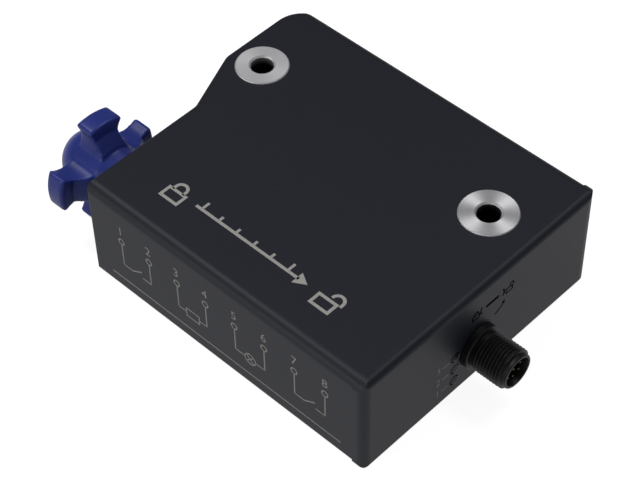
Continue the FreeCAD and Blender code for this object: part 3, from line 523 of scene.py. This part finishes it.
# ------------------------------------------------------------ mesh helpers
def make_piece(name, mesh, material, body, smooth_angle=None):
    if not mesh.polygons:
        raise RuntimeError(f"{name} has no faces")
    piece = bpy.data.objects.new(name, mesh)
    bpy.context.scene.collection.objects.link(piece)
    mesh.materials.append(material)
    if smooth_angle is not None:
        for face in mesh.polygons:
            face.use_smooth = True
        mesh.set_sharp_from_angle(angle=smooth_angle)
    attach(piece, body)
    return piece


def mesh_from(name, bm):
    bmesh.ops.recalc_face_normals(bm, faces=bm.faces)
    mesh = bpy.data.meshes.new(name)
    bm.to_mesh(mesh)
    bm.free()
    return mesh


def loft_rings(bm, rings):
    """Skins equal rings of points and joins the last ring to the first."""
    rows = [[bm.verts.new(point) for point in ring] for ring in rings]
    for one, two in zip(rows, rows[1:] + rows[:1]):
        for i in range(len(one)):
            j = (i + 1) % len(one)
            bm.faces.new((one[i], one[j], two[j], two[i]))


def slab(bm, place, corners):
    """Thin raised plate over a convex outline."""
    top = [bm.verts.new(place(c.x, c.y, 1)) for c in corners]
    low = [bm.verts.new(place(c.x, c.y, 0)) for c in corners]
    bm.faces.new(top)
    bm.faces.new(list(reversed(low)))
    for i in range(len(top)):
        j = (i + 1) % len(top)
        bm.faces.new((top[i], low[i], low[j], top[j]))


def ribbon(bm, place, points, width, closed=False):
    """Flat stroke of a width along points (u, v), raised by the print's thickness."""
    spots = [Vector((u, v, 0)) for u, v in points]
    count = len(spots)
    lefts = []
    rights = []
    for i, spot in enumerate(spots):
        before = spots[i - 1] if closed or i > 0 else spots[i]
        after = spots[(i + 1) % count] if closed or i < count - 1 else spots[i]
        into = (spot - before).normalized() if (spot - before).length > 0 else None
        out = (after - spot).normalized() if (after - spot).length > 0 else into
        into = into or out
        along = (into + out).normalized()
        side = Vector((-along.y, along.x, 0))
        reach = width / 2 / max(MIN_MITRE, side.dot(Vector((-into.y, into.x, 0))))
        lefts.append(spot + side * reach)
        rights.append(spot - side * reach)
    for i in range(count if closed else count - 1):
        j = (i + 1) % count
        slab(bm, place, (lefts[i], lefts[j], rights[j], rights[i]))


def arc_points(u, v, radius, start, end, steps):
    """Points on an arc, angles in degrees."""
    points = []
    for i in range(steps + 1):
        angle = math.radians(start + (end - start) * i / steps)
        points.append((u + radius * math.cos(angle), v + radius * math.sin(angle)))
    return points


def circle(bm, place, u, v, radius, width):
    """Closed stroke round (u, v)."""
    steps = 24
    last = 360 - 360 / steps
    ribbon(bm, place, arc_points(u, v, radius, 0, last, steps - 1), width, closed=True)


def padlock(bm, place, u, v, size, width, is_open=False):
    """Padlock outline standing on (u, v); an open one has its shackle swung to the side."""
    half = size * 0.42
    body_top = v + size * 0.5
    loop_r = half * 0.62
    loop_v = body_top + size * 0.16
    shift = loop_r * 1.2 if is_open else 0
    box = [(u - half, v), (u + half, v), (u + half, body_top), (u - half, body_top)]
    ribbon(bm, place, box, width, closed=True)
    legs = [(u + shift + loop_r, body_top)] + arc_points(u + shift, loop_v, loop_r, 0, 180, 12)
    if not is_open:
        legs.append((u - loop_r, body_top))
    ribbon(bm, place, legs, width)


def arrow_head(bm, place, u, v, direction, size):
    """Solid triangle with its tip at (u, v), direction in degrees."""
    corners = [Vector((u, v, 0))]
    for turn in (150, 210):
        angle = math.radians(direction + turn)
        corners.append(Vector((u + size * math.cos(angle), v + size * math.sin(angle), 0)))
    slab(bm, place, corners)


def numeral(bm, place, text, u, v, height):
    """One number as raised flat shapes, centred on (u, v)."""
    curve = bpy.data.curves.new("numeral", "FONT")
    curve.body = text
    curve.size = height * FONT_SCALE
    curve.align_x = "CENTER"
    curve.align_y = "CENTER"
    holder = bpy.data.objects.new("numeral", curve)
    flat = bpy.data.meshes.new_from_object(holder)
    start = len(bm.verts)
    bm.from_mesh(flat)
    bm.verts.ensure_lookup_table()
    for vertex in bm.verts[start:]:
        vertex.co = place(u + vertex.co.x, v + vertex.co.y, 1)
    bpy.data.objects.remove(holder)
    bpy.data.meshes.remove(flat)


def on_front(u, v, lift):
    """Front face: u towards the plug, v towards the far side."""
    return Vector((u, v, FRONT_Z + lift * bpy.context.scene.switch_marks.thickness))


def on_side(u, v, lift):
    """Near long side: u towards the plug, v upwards."""
    return Vector((u, SIDE_Y - lift * bpy.context.scene.switch_marks.thickness, v))


def on_cap(u, v, lift):
    """Plug face: u towards the far side, v upwards."""
    return Vector((FACE_X + lift * bpy.context.scene.switch_marks.thickness, u, v))


# ------------------------------------------------------------ operators
class FinishCase(bpy.types.Operator):
    """Gives the housing and the end cap their moulded finish"""
    bl_idname = "interlock.case"
    bl_label = "Case"

    def execute(self, context):
        s = context.scene.switch_case
        values = (s.colour, s.fleck_colour, s.roughness, s.grain_size, s.grain_depth)
        plastic = moulded("Housing plastic", *values, specular_ior_level=s.sheen)
        finish_node("housing", plastic)
        finish_node("end_cap", plastic)
        return {"FINISHED"}


class FinishBushes(bpy.types.Operator):
    """Turns the two fixing bushes bright"""
    bl_idname = "interlock.bushes"
    bl_label = "Fixing bushes"

    def execute(self, context):
        s = context.scene.switch_metal
        satin = (s.satin_roughness, s.satin_sheen, s.satin_tone)
        bright = (s.bright_roughness, s.bright_sheen, s.bright_tone)
        self.turn("horn_fixing_bush", "Satin turned steel", s, *satin)
        self.turn("rear_fixing_bush", "Bright turned steel", s, *bright)
        return {"FINISHED"}

    def turn(self, node, label, s, roughness, sheen, tone):
        """Turned face with its sheen across the marks, and painted shade darkening its colour down the bore.
        """
        groove_dark = 0.86
        lit_depth = 0.5 * MM
        place = middle(node)
        material, tree, shader = new_material(label, metallic=1.0, anisotropic=sheen)
        group = use_group(
            tree, turning_group(), centre_x=place.x, centre_y=place.y, pitch=s.groove_pitch
        )
        marks = group.outputs["Rings"]
        pale = scaled(s.bush_colour, tone)
        lit = mix_colours(tree, marks, scaled(pale, groove_dark), pale)
        spot = add_node(tree, "ShaderNodeTexCoord")
        split = add_node(tree, "ShaderNodeSeparateXYZ")
        # Painted shade: below the face the colour runs down to the bore's dark shade colour
        face = add_node(tree, "ShaderNodeMapRange", in1=FRONT_Z - s.bore_shade, in2=FRONT_Z - lit_depth)
        tree.links.new(spot.outputs["Object"], split.inputs[0])
        tree.links.new(split.outputs[2], face.inputs["Value"])
        shaded = mix_colours(tree, face.outputs[0], s.painted_bore_shade, lit)
        tree.links.new(shaded, shader.inputs["Base Color"])
        roughness_from(tree, shader, marks, roughness)
        around = add_node(tree, "ShaderNodeTangent", direction_type="RADIAL", axis="Z")
        tree.links.new(around.outputs[0], shader.inputs["Tangent"])
        bump_from(tree, shader, marks, SHALLOW, strength=0.4)
        finish_node(node, material)


class FinishWheel(bpy.types.Operator):
    """Gives the locking wheel its blue moulded finish and softens its edges"""
    bl_idname = "interlock.wheel"
    bl_label = "Locking wheel"

    def execute(self, context):
        s = context.scene.switch_wheel
        values = (s.colour, scaled(s.colour, 1.25), s.roughness, s.grain_size, s.grain_depth)
        plastic = moulded("Wheel plastic", *values, specular_ior_level=s.sheen)
        finish_node("star_wheel", plastic)
        solid = frame["nodes"]["star_wheel"]
        mesh = solid.data.copy()
        mesh.transform(solid.matrix_world)
        mesh.materials.clear()
        wheel = make_piece("soft_locking_wheel", mesh, plastic, "wheel")
        skin = wheel.modifiers.new("even skin", "REMESH")
        skin.mode = "VOXEL"
        skin.voxel_size = s.skin_size
        skin.use_smooth_shade = True
        soft = wheel.modifiers.new("soft edges", "SMOOTH")
        soft.iterations = s.softening
        swell = wheel.modifiers.new("growth", "DISPLACE")
        swell.strength = s.growth
        swell.mid_level = 0
        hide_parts("star_wheel")
        return {"FINISHED"}


class MakePlug(bpy.types.Operator):
    """Builds the plug's threaded body and finishes its contacts and the seals"""
    bl_idname = "interlock.plug"
    bl_label = "Plug"

    def execute(self, context):
        s = context.scene.switch_plug
        values = (s.colour, scaled(s.colour, 2.0), s.roughness, 0.25 * MM, SHALLOW)
        plastic = moulded("Plug plastic", *values, specular_ior_level=s.sheen)
        bm = bmesh.new()
        self.threaded_body(bm, s)
        mesh = mesh_from("plug_threaded_body", bm)
        sharp = math.radians(35)
        shell = make_piece("plug_threaded_body", mesh, plastic, "case", sharp)
        finish_node("connector_shell", plastic)
        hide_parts("connector_shell")
        carrier = moulded("Contact carrier", [0.005] * 3, [0.008] * 3, 0.5, SOFT_GRAIN, SHALLOW)
        finish_node("contact_insert", carrier)
        # The contacts' gold is dimmed into painted shade, as they sit deep in the shell
        tones = (s.contact_shade_dark, s.contact_shade_pale)
        finish_node("contact_pins", grained("Contact gold", *tones, 0.2 * MM, 0.23, 0.07, metallic=1.0))
        seal = moulded("Seal rubber", [0.006] * 3, [0.01] * 3, 0.7, SOFT_GRAIN, SHALLOW)
        for node in ("connector_seal", "cap_seal", "shaft_seal", "release_seal"):
            finish_node(node, seal)
        return {"FINISHED"}

    def threaded_body(self, bm, s):
        """Revolved body; between its thread's two ends the radius follows a helix."""
        fade_steps = 8
        start = FACE_X + s.thread_from
        length = s.thread_to - s.thread_from
        steps = round(length / s.thread_pitch * s.turn_steps)
        rings = [self.plain_ring(*spot, s) for spot in PLUG_BASE]
        for i in range(steps + 1):
            x = start + length * i / steps
            fade = min(1, i / fade_steps, (steps - i) / fade_steps)
            rings.append(self.ring(x, lambda angle: self.thread_radius(x, angle, fade, s), s))
        rings += [self.plain_ring(*spot, s) for spot in PLUG_NOSE]
        loft_rings(bm, rings)

    def plain_ring(self, out_mm, radius_mm, s):
        return self.ring(FACE_X + out_mm * MM, lambda angle: radius_mm * MM, s)

    def ring(self, x, radius, s):
        """Points round the plug's axis, with a radius for each angle."""
        points = []
        for i in range(s.segments):
            angle = 2 * math.pi * i / s.segments
            r = radius(angle)
            points.append((x, PLUG.y + r * math.cos(angle), PLUG.z + r * math.sin(angle)))
        return points

    def thread_radius(self, x, angle, fade, s):
        """Trapezoidal thread, sinking into the body where fade falls to 0."""
        root_share = 0.12
        flank_share = 0.76
        sink = 0.1 * MM
        phase = (x / s.thread_pitch - angle / (2 * math.pi)) % 1.0
        height = min(1, max(0, (abs(phase * 2 - 1) - root_share) / flank_share))
        return s.crest - s.thread_depth * (1 - height) * fade - sink * (1 - fade)


class MakeLamps(bpy.types.Operator):
    """Finishes the three status windows, with painted shade and a painted highlight round each and a number
    beside it
    """
    bl_idname = "interlock.lamps"
    bl_label = "Status lights"

    def execute(self, context):
        lens = moulded(
            "Status window", (0.008, 0.009, 0.010), (0.014, 0.015, 0.015), 0.35, 0.5 * MM, 0.006 * MM,
            specular_ior_level=0.06, subsurface_weight=0.3, subsurface_radius=(MM, MM, MM),
        )
        finish_node("light_pipes", lens)
        low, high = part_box("light_pipes")
        radius = (high.y - low.y) / 2
        u = (low.y + high.y) / 2
        heights = [low.z + radius, (low.z + high.z) / 2, high.z - radius]
        edge_r = radius + 0.12 * MM
        dark = engraved_and_shade_material(context)
        bm = bmesh.new()
        # Painted shade: a dark arc round most of each window's rim, standing in for the shaded side of its
        # recess
        for v in heights:
            ribbon(bm, on_cap, arc_points(u, v, edge_r, 12, 258, 30), 0.26 * MM)
        make_piece("status_window_shade_arcs", mesh_from("status_window_shade_arcs", bm), dark, "case")
        number_u = u - 6.5 * MM
        dash = (u - 4.9 * MM, u - 2.4 * MM)
        bm = bmesh.new()
        for v, text in zip(heights, "123"):
            numeral(bm, on_cap, text, number_u, v, 2.6 * MM)
            ribbon(bm, on_cap, [(end, v) for end in dash], 0.35 * MM)
            # Painted highlight: a short pale arc on the rest of each window's rim, in the print's ink
            ribbon(bm, on_cap, arc_points(u, v, edge_r, -100, 10, 14), 0.2 * MM)
        ink = print_material(context, "Lamp number print and rim highlight", 0.8)
        make_piece("lamp_numbers_and_rim_highlights", mesh_from("lamp_numbers_and_rim_highlights", bm), ink, "case")
        return {"FINISHED"}


class MakeRelease(bpy.types.Operator):
    """Finishes the slotted release and draws the marks round it"""
    bl_idname = "interlock.release"
    bl_label = "Manual release"

    def execute(self, context):
        case = context.scene.switch_case
        stroke = context.scene.switch_marks.cap_stroke
        head = moulded(
            "Release plastic", case.colour, case.fleck_colour, case.roughness, SOFT_GRAIN, SHALLOW,
            specular_ior_level=case.sheen,
        )
        finish_node("release_spindle", head)
        self.flush_plate(head)
        dark = engraved_and_shade_material(context)
        u, v = RELEASE.y, RELEASE.z
        bracket_u, bracket_in = 4.5 * MM, 0.5 * MM
        bracket_end, bracket_bend = 1.3 * MM, 0.7 * MM
        lock_size, lock_stroke, lock_v = 3.0 * MM, 0.42 * MM, v - 1.5 * MM
        bm = bmesh.new()
        for side in (-1, 1):
            at = u + side * bracket_u
            inner = at - side * bracket_in
            points = [(inner, v + bracket_end), (at, v + bracket_bend), (at, v - bracket_bend),
                      (inner, v - bracket_end)]
            ribbon(bm, on_cap, points, stroke)
        padlock(bm, on_cap, u - 6.4 * MM, lock_v, lock_size, lock_stroke)
        padlock(bm, on_cap, u + 6.6 * MM, lock_v, lock_size, lock_stroke, is_open=True)
        ribbon(bm, on_cap, arc_points(u, v, 6.4 * MM, 282, 318, 16), stroke)
        arrow_head(bm, on_cap, u + 5.2 * MM, v - 3.4 * MM, 52, 1.5 * MM)
        make_piece("release_marks", mesh_from("release_marks", bm), dark, "case")
        return {"FINISHED"}

    def flush_plate(self, material):
        """Plate that brings the spindle's head flush with the face, open over its slot."""
        head_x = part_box("release_spindle")[1].x
        half_length = 2.5 * MM
        half_width = 0.55 * MM
        rim = 3.08 * MM
        facets = 72
        outer = []
        inner = []
        for i in range(facets):
            angle = 2 * math.pi * i / facets
            c, n = math.cos(angle), math.sin(angle)
            reach = min(half_length / max(abs(c), 1e-6), half_width / max(abs(n), 1e-6))
            outer.append((RELEASE.y + rim * c, RELEASE.z + rim * n))
            inner.append((RELEASE.y + reach * c, RELEASE.z + reach * n))
        rings = []
        for x, loop in ((FACE_X, outer), (FACE_X, inner), (head_x, inner), (head_x, outer)):
            rings.append([(x, y, z) for y, z in loop])
        bm = bmesh.new()
        loft_rings(bm, rings)
        make_piece("release_plate", mesh_from("release_plate", bm), material, "release")


class PrintFront(bpy.types.Operator):
    """Prints a locked to unlocked scale along the front face"""
    bl_idname = "interlock.front_print"
    bl_label = "Front print"

    def execute(self, context):
        ink = print_material(context, "Front print")
        stroke = context.scene.switch_marks.front_stroke
        u = WHEEL_FACE_X + 20 * MM
        v = SIDE_Y + 14.5 * MM
        lock_size, lock_v, lock_pitch = 7 * MM, v - 3.4 * MM, 54 * MM
        line_from, line_to, arrow_tip = 7 * MM, 44 * MM, 47 * MM
        ticks, first_tick, tick_pitch = 6, 9 * MM, 6.2 * MM
        tick_foot, short_tick, long_tick = 0.4 * MM, 1.9 * MM, 2.9 * MM
        bm = bmesh.new()
        padlock(bm, on_front, u, lock_v, lock_size, stroke)
        padlock(bm, on_front, u + lock_pitch, lock_v, lock_size, stroke, is_open=True)
        ribbon(bm, on_front, [(u + line_from, v), (u + line_to, v)], stroke)
        arrow_head(bm, on_front, u + arrow_tip, v, 0, 4.2 * MM)
        for i in range(ticks):
            at = u + first_tick + tick_pitch * i
            top = long_tick if i % (ticks - 1) == 0 else short_tick
            ribbon(bm, on_front, [(at, v + tick_foot), (at, v + top)], 0.8 * MM)
        make_piece("front_print", mesh_from("front_print", bm), ink, "case")
        return {"FINISHED"}


class PrintSide(bpy.types.Operator):
    """Prints a plain wiring diagram with numbered terminals on the near long side"""
    bl_idname = "interlock.side_print"
    bl_label = "Side print"

    def execute(self, context):
        ink = print_material(context, "Side print", 0.9)
        line = context.scene.switch_marks.side_stroke
        terminals, pitch, terminal_r = 8, 10.6 * MM, 1.0 * MM
        number_v, terminal_v, turn_v = 23.5 * MM, 19.5 * MM, 15.5 * MM
        level, rail_v = 10.5 * MM, 4.2 * MM
        start = WHEEL_FACE_X + 7 * MM
        places = [start + (i + 0.5) * pitch for i in range(terminals)]
        bm = bmesh.new()
        for i, u in enumerate(places):
            numeral(bm, on_side, str(i + 1), u, number_v, 3.0 * MM)
            circle(bm, on_side, u, terminal_v, terminal_r, line)
            ribbon(bm, on_side, [(u, terminal_v - terminal_r), (u, turn_v)], line)
            ribbon(bm, on_side, [(u, turn_v), (u, level)], line)
        for symbol, u in zip((self.contact, self.coil, self.lamp, self.contact), places[::2]):
            symbol(bm, u, u + pitch, level, line)
        ribbon(bm, on_side, [(start, rail_v), (start + terminals * pitch, rail_v)], line)
        make_piece("side_print", mesh_from("side_print", bm), ink, "case")
        return {"FINISHED"}

    def leads(self, bm, left, right, v, half, line):
        """Lines from both terminals to a symbol as wide as twice half; returns its middle."""
        mid = (left + right) / 2
        ribbon(bm, on_side, [(left, v), (mid - half, v)], line)
        ribbon(bm, on_side, [(mid + half, v), (right, v)], line)
        return mid

    def contact(self, bm, left, right, v, line):
        """Open contact with its blade lifted."""
        half, reach, rise = 2 * MM, 1.8 * MM, 2.2 * MM
        mid = self.leads(bm, left, right, v, half, line)
        ribbon(bm, on_side, [(mid - half, v), (mid + reach, v + rise)], line)

    def coil(self, bm, left, right, v, line):
        """Coil drawn as a box."""
        half, tall = 2.4 * MM, 1.5 * MM
        mid = self.leads(bm, left, right, v, half, line)
        box = [(mid - half, v - tall), (mid + half, v - tall), (mid + half, v + tall), (mid - half, v + tall)]
        ribbon(bm, on_side, box, line, closed=True)

    def lamp(self, bm, left, right, v, line):
        """Lamp drawn as a crossed circle."""
        radius = 1.9 * MM
        arm = radius * 0.7
        mid = self.leads(bm, left, right, v, radius, line)
        circle(bm, on_side, mid, v, radius, line)
        ribbon(bm, on_side, [(mid - arm, v - arm), (mid + arm, v + arm)], line)
        ribbon(bm, on_side, [(mid - arm, v + arm), (mid + arm, v - arm)], line)


class FinishWorks(bpy.types.Operator):
    """Gives the parts inside the case their finishes"""
    bl_idname = "interlock.works"
    bl_label = "Works inside"

    def execute(self, context):
        finishes = {}
        for slot, (name, dark, pale, roughness) in METALS.items():
            finishes[slot] = grained(name, dark, pale, 0.6 * MM, roughness, 0.08, metallic=1.0)
        for slot, (name, colour, roughness) in PLASTICS.items():
            finishes[slot] = moulded(name, colour, scaled(colour, 1.3), roughness, 0.4 * MM, SHALLOW)
        for row in frame["record"]["subparts"]:
            if row["material_slot"] in finishes:
                finish_node(row["node"], finishes[row["material_slot"]])
        bare = [name for name, solid in frame["nodes"].items() if not is_finished(solid)]
        if bare:
            raise RuntimeError(f"no finish for {bare}")
        return {"FINISHED"}


class MakeStage(bpy.types.Operator):
    """Adds the floor, the soft lamps, the world and the camera"""
    bl_idname = "interlock.stage"
    bl_label = "Stage"

    def execute(self, context):
        s = context.scene.switch_stage
        self.floor(context, s)
        self.world(context, s)
        for name, place, size, power in LAMPS:
            lamp = bpy.data.lights.new(name, "AREA")
            lamp.size = size
            lamp.energy = power * s.lamp_power
            holder = bpy.data.objects.new(name, lamp)
            holder.location = place
            holder.rotation_euler = (-Vector(place)).to_track_quat("-Z", "Y").to_euler()
            context.scene.collection.objects.link(holder)
        self.camera(context, s)
        context.scene.view_settings.view_transform = "Standard"
        return {"FINISHED"}

    def floor(self, context, s):
        """Pale floor that glows where it is seen, so that it stays even."""
        half_size = 3.0
        drop = 0.3 * MM
        bm = bmesh.new()
        bmesh.ops.create_grid(bm, x_segments=1, y_segments=1, size=half_size)
        mesh = mesh_from("floor", bm)
        floor = bpy.data.objects.new("floor", mesh)
        floor.location.z = cad_box[0].z - drop
        context.scene.collection.objects.link(floor)
        material = bpy.data.materials.new("Pale floor")
        material.use_nodes = True
        tree = material.node_tree
        tree.nodes.clear()
        matt = add_node(tree, "ShaderNodeBsdfDiffuse", in0=(*scaled(s.floor_colour, s.floor_bounce), 1))
        glow = add_node(tree, "ShaderNodeEmission", in0=(1, 1, 1, 1))
        path = add_node(tree, "ShaderNodeLightPath")
        mirrored = add_node(tree, "ShaderNodeMath", operation="MULTIPLY", in1=s.floor_mirrored)
        seen = add_node(tree, "ShaderNodeMath", operation="MAXIMUM")
        level = add_node(tree, "ShaderNodeMath", operation="MULTIPLY", in1=s.floor_glow)
        both = add_node(tree, "ShaderNodeAddShader")
        sink = add_node(tree, "ShaderNodeOutputMaterial")
        tree.links.new(path.outputs["Is Camera Ray"], seen.inputs[0])
        tree.links.new(path.outputs["Is Glossy Ray"], mirrored.inputs[0])
        tree.links.new(mirrored.outputs[0], seen.inputs[1])
        tree.links.new(seen.outputs[0], level.inputs[0])
        tree.links.new(level.outputs[0], glow.inputs["Strength"])
        tree.links.new(matt.outputs[0], both.inputs[0])
        tree.links.new(glow.outputs[0], both.inputs[1])
        tree.links.new(both.outputs[0], sink.inputs[0])
        mesh.materials.append(material)

    def world(self, context, s):
        """White behind the object, with a weak even light on it."""
        world = bpy.data.worlds.new("studio")
        context.scene.world = world
        world.use_nodes = True
        tree = world.node_tree
        tree.nodes.clear()
        sink = add_node(tree, "ShaderNodeOutputWorld")
        room = add_node(tree, "ShaderNodeBackground", in0=(1, 1, 1, 1), in1=s.room_light)
        white = add_node(tree, "ShaderNodeBackground", in0=(1, 1, 1, 1), in1=1.0)
        path = add_node(tree, "ShaderNodeLightPath")
        mix = add_node(tree, "ShaderNodeMixShader")
        tree.links.new(path.outputs["Is Camera Ray"], mix.inputs[0])
        tree.links.new(room.outputs[0], mix.inputs[1])
        tree.links.new(white.outputs[0], mix.inputs[2])
        tree.links.new(mix.outputs[0], sink.inputs[0])

    def camera(self, context, s):
        data = bpy.data.cameras.new("camera")
        data.lens = s.focal_length
        data.sensor_width = 36
        data.shift_x, data.shift_y = s.shift
        data.clip_start = 0.01
        data.clip_end = 20
        camera = bpy.data.objects.new("camera", data)
        back = Vector((
            math.sin(s.azimuth) * math.cos(s.elevation),
            -math.cos(s.azimuth) * math.cos(s.elevation),
            math.sin(s.elevation),
        ))
        right = Vector((math.cos(s.azimuth), math.sin(s.azimuth), 0))
        upright = Matrix((right, back.cross(right), back)).transposed()
        turned = Matrix.Rotation(s.roll, 3, back) @ upright
        camera.matrix_world = Matrix.Translation(Vector(s.location)) @ turned.to_4x4()
        context.scene.collection.objects.link(camera)
        context.scene.camera = camera


OPERATORS = (
    FinishCase, FinishBushes, FinishWheel, MakePlug, MakeLamps, MakeRelease, PrintFront, PrintSide,
    FinishWorks, MakeStage,
)
SETTINGS = {
    "switch_case": CaseSettings,
    "switch_metal": MetalSettings,
    "switch_wheel": WheelSettings,
    "switch_plug": PlugSettings,
    "switch_marks": MarkSettings,
    "switch_stage": StageSettings,
}


class InterlockPanel(bpy.types.Panel):
    """Settings and steps of the interlock switch"""
    bl_idname = "VIEW3D_PT_interlock"
    bl_label = "Interlock switch"
    bl_space_type = "VIEW_3D"
    bl_region_type = "UI"
    bl_category = "Interlock"

    def draw(self, context):
        for key, group in SETTINGS.items():
            box = self.layout.box()
            for label in group.__annotations__:
                box.prop(getattr(context.scene, key), label)
        for operator in OPERATORS:
            self.layout.operator(operator.bl_idname)


def register():
    for cls in (*SETTINGS.values(), *OPERATORS, InterlockPanel):
        bpy.utils.register_class(cls)
    for key, group in SETTINGS.items():
        setattr(bpy.types.Scene, key, PointerProperty(type=group))


def unregister():
    for key in SETTINGS:
        delattr(bpy.types.Scene, key)
    for cls in (InterlockPanel, *reversed(OPERATORS), *reversed(SETTINGS.values())):
        bpy.utils.unregister_class(cls)


def main():
    register()
    bpy.ops.interlock.case()
    bpy.ops.interlock.bushes()
    bpy.ops.interlock.wheel()
    bpy.ops.interlock.plug()
    bpy.ops.interlock.lamps()
    bpy.ops.interlock.release()
    bpy.ops.interlock.front_print()
    bpy.ops.interlock.side_print()
    bpy.ops.interlock.works()
    bpy.ops.interlock.stage()


if __name__ == "__main__":
    main()
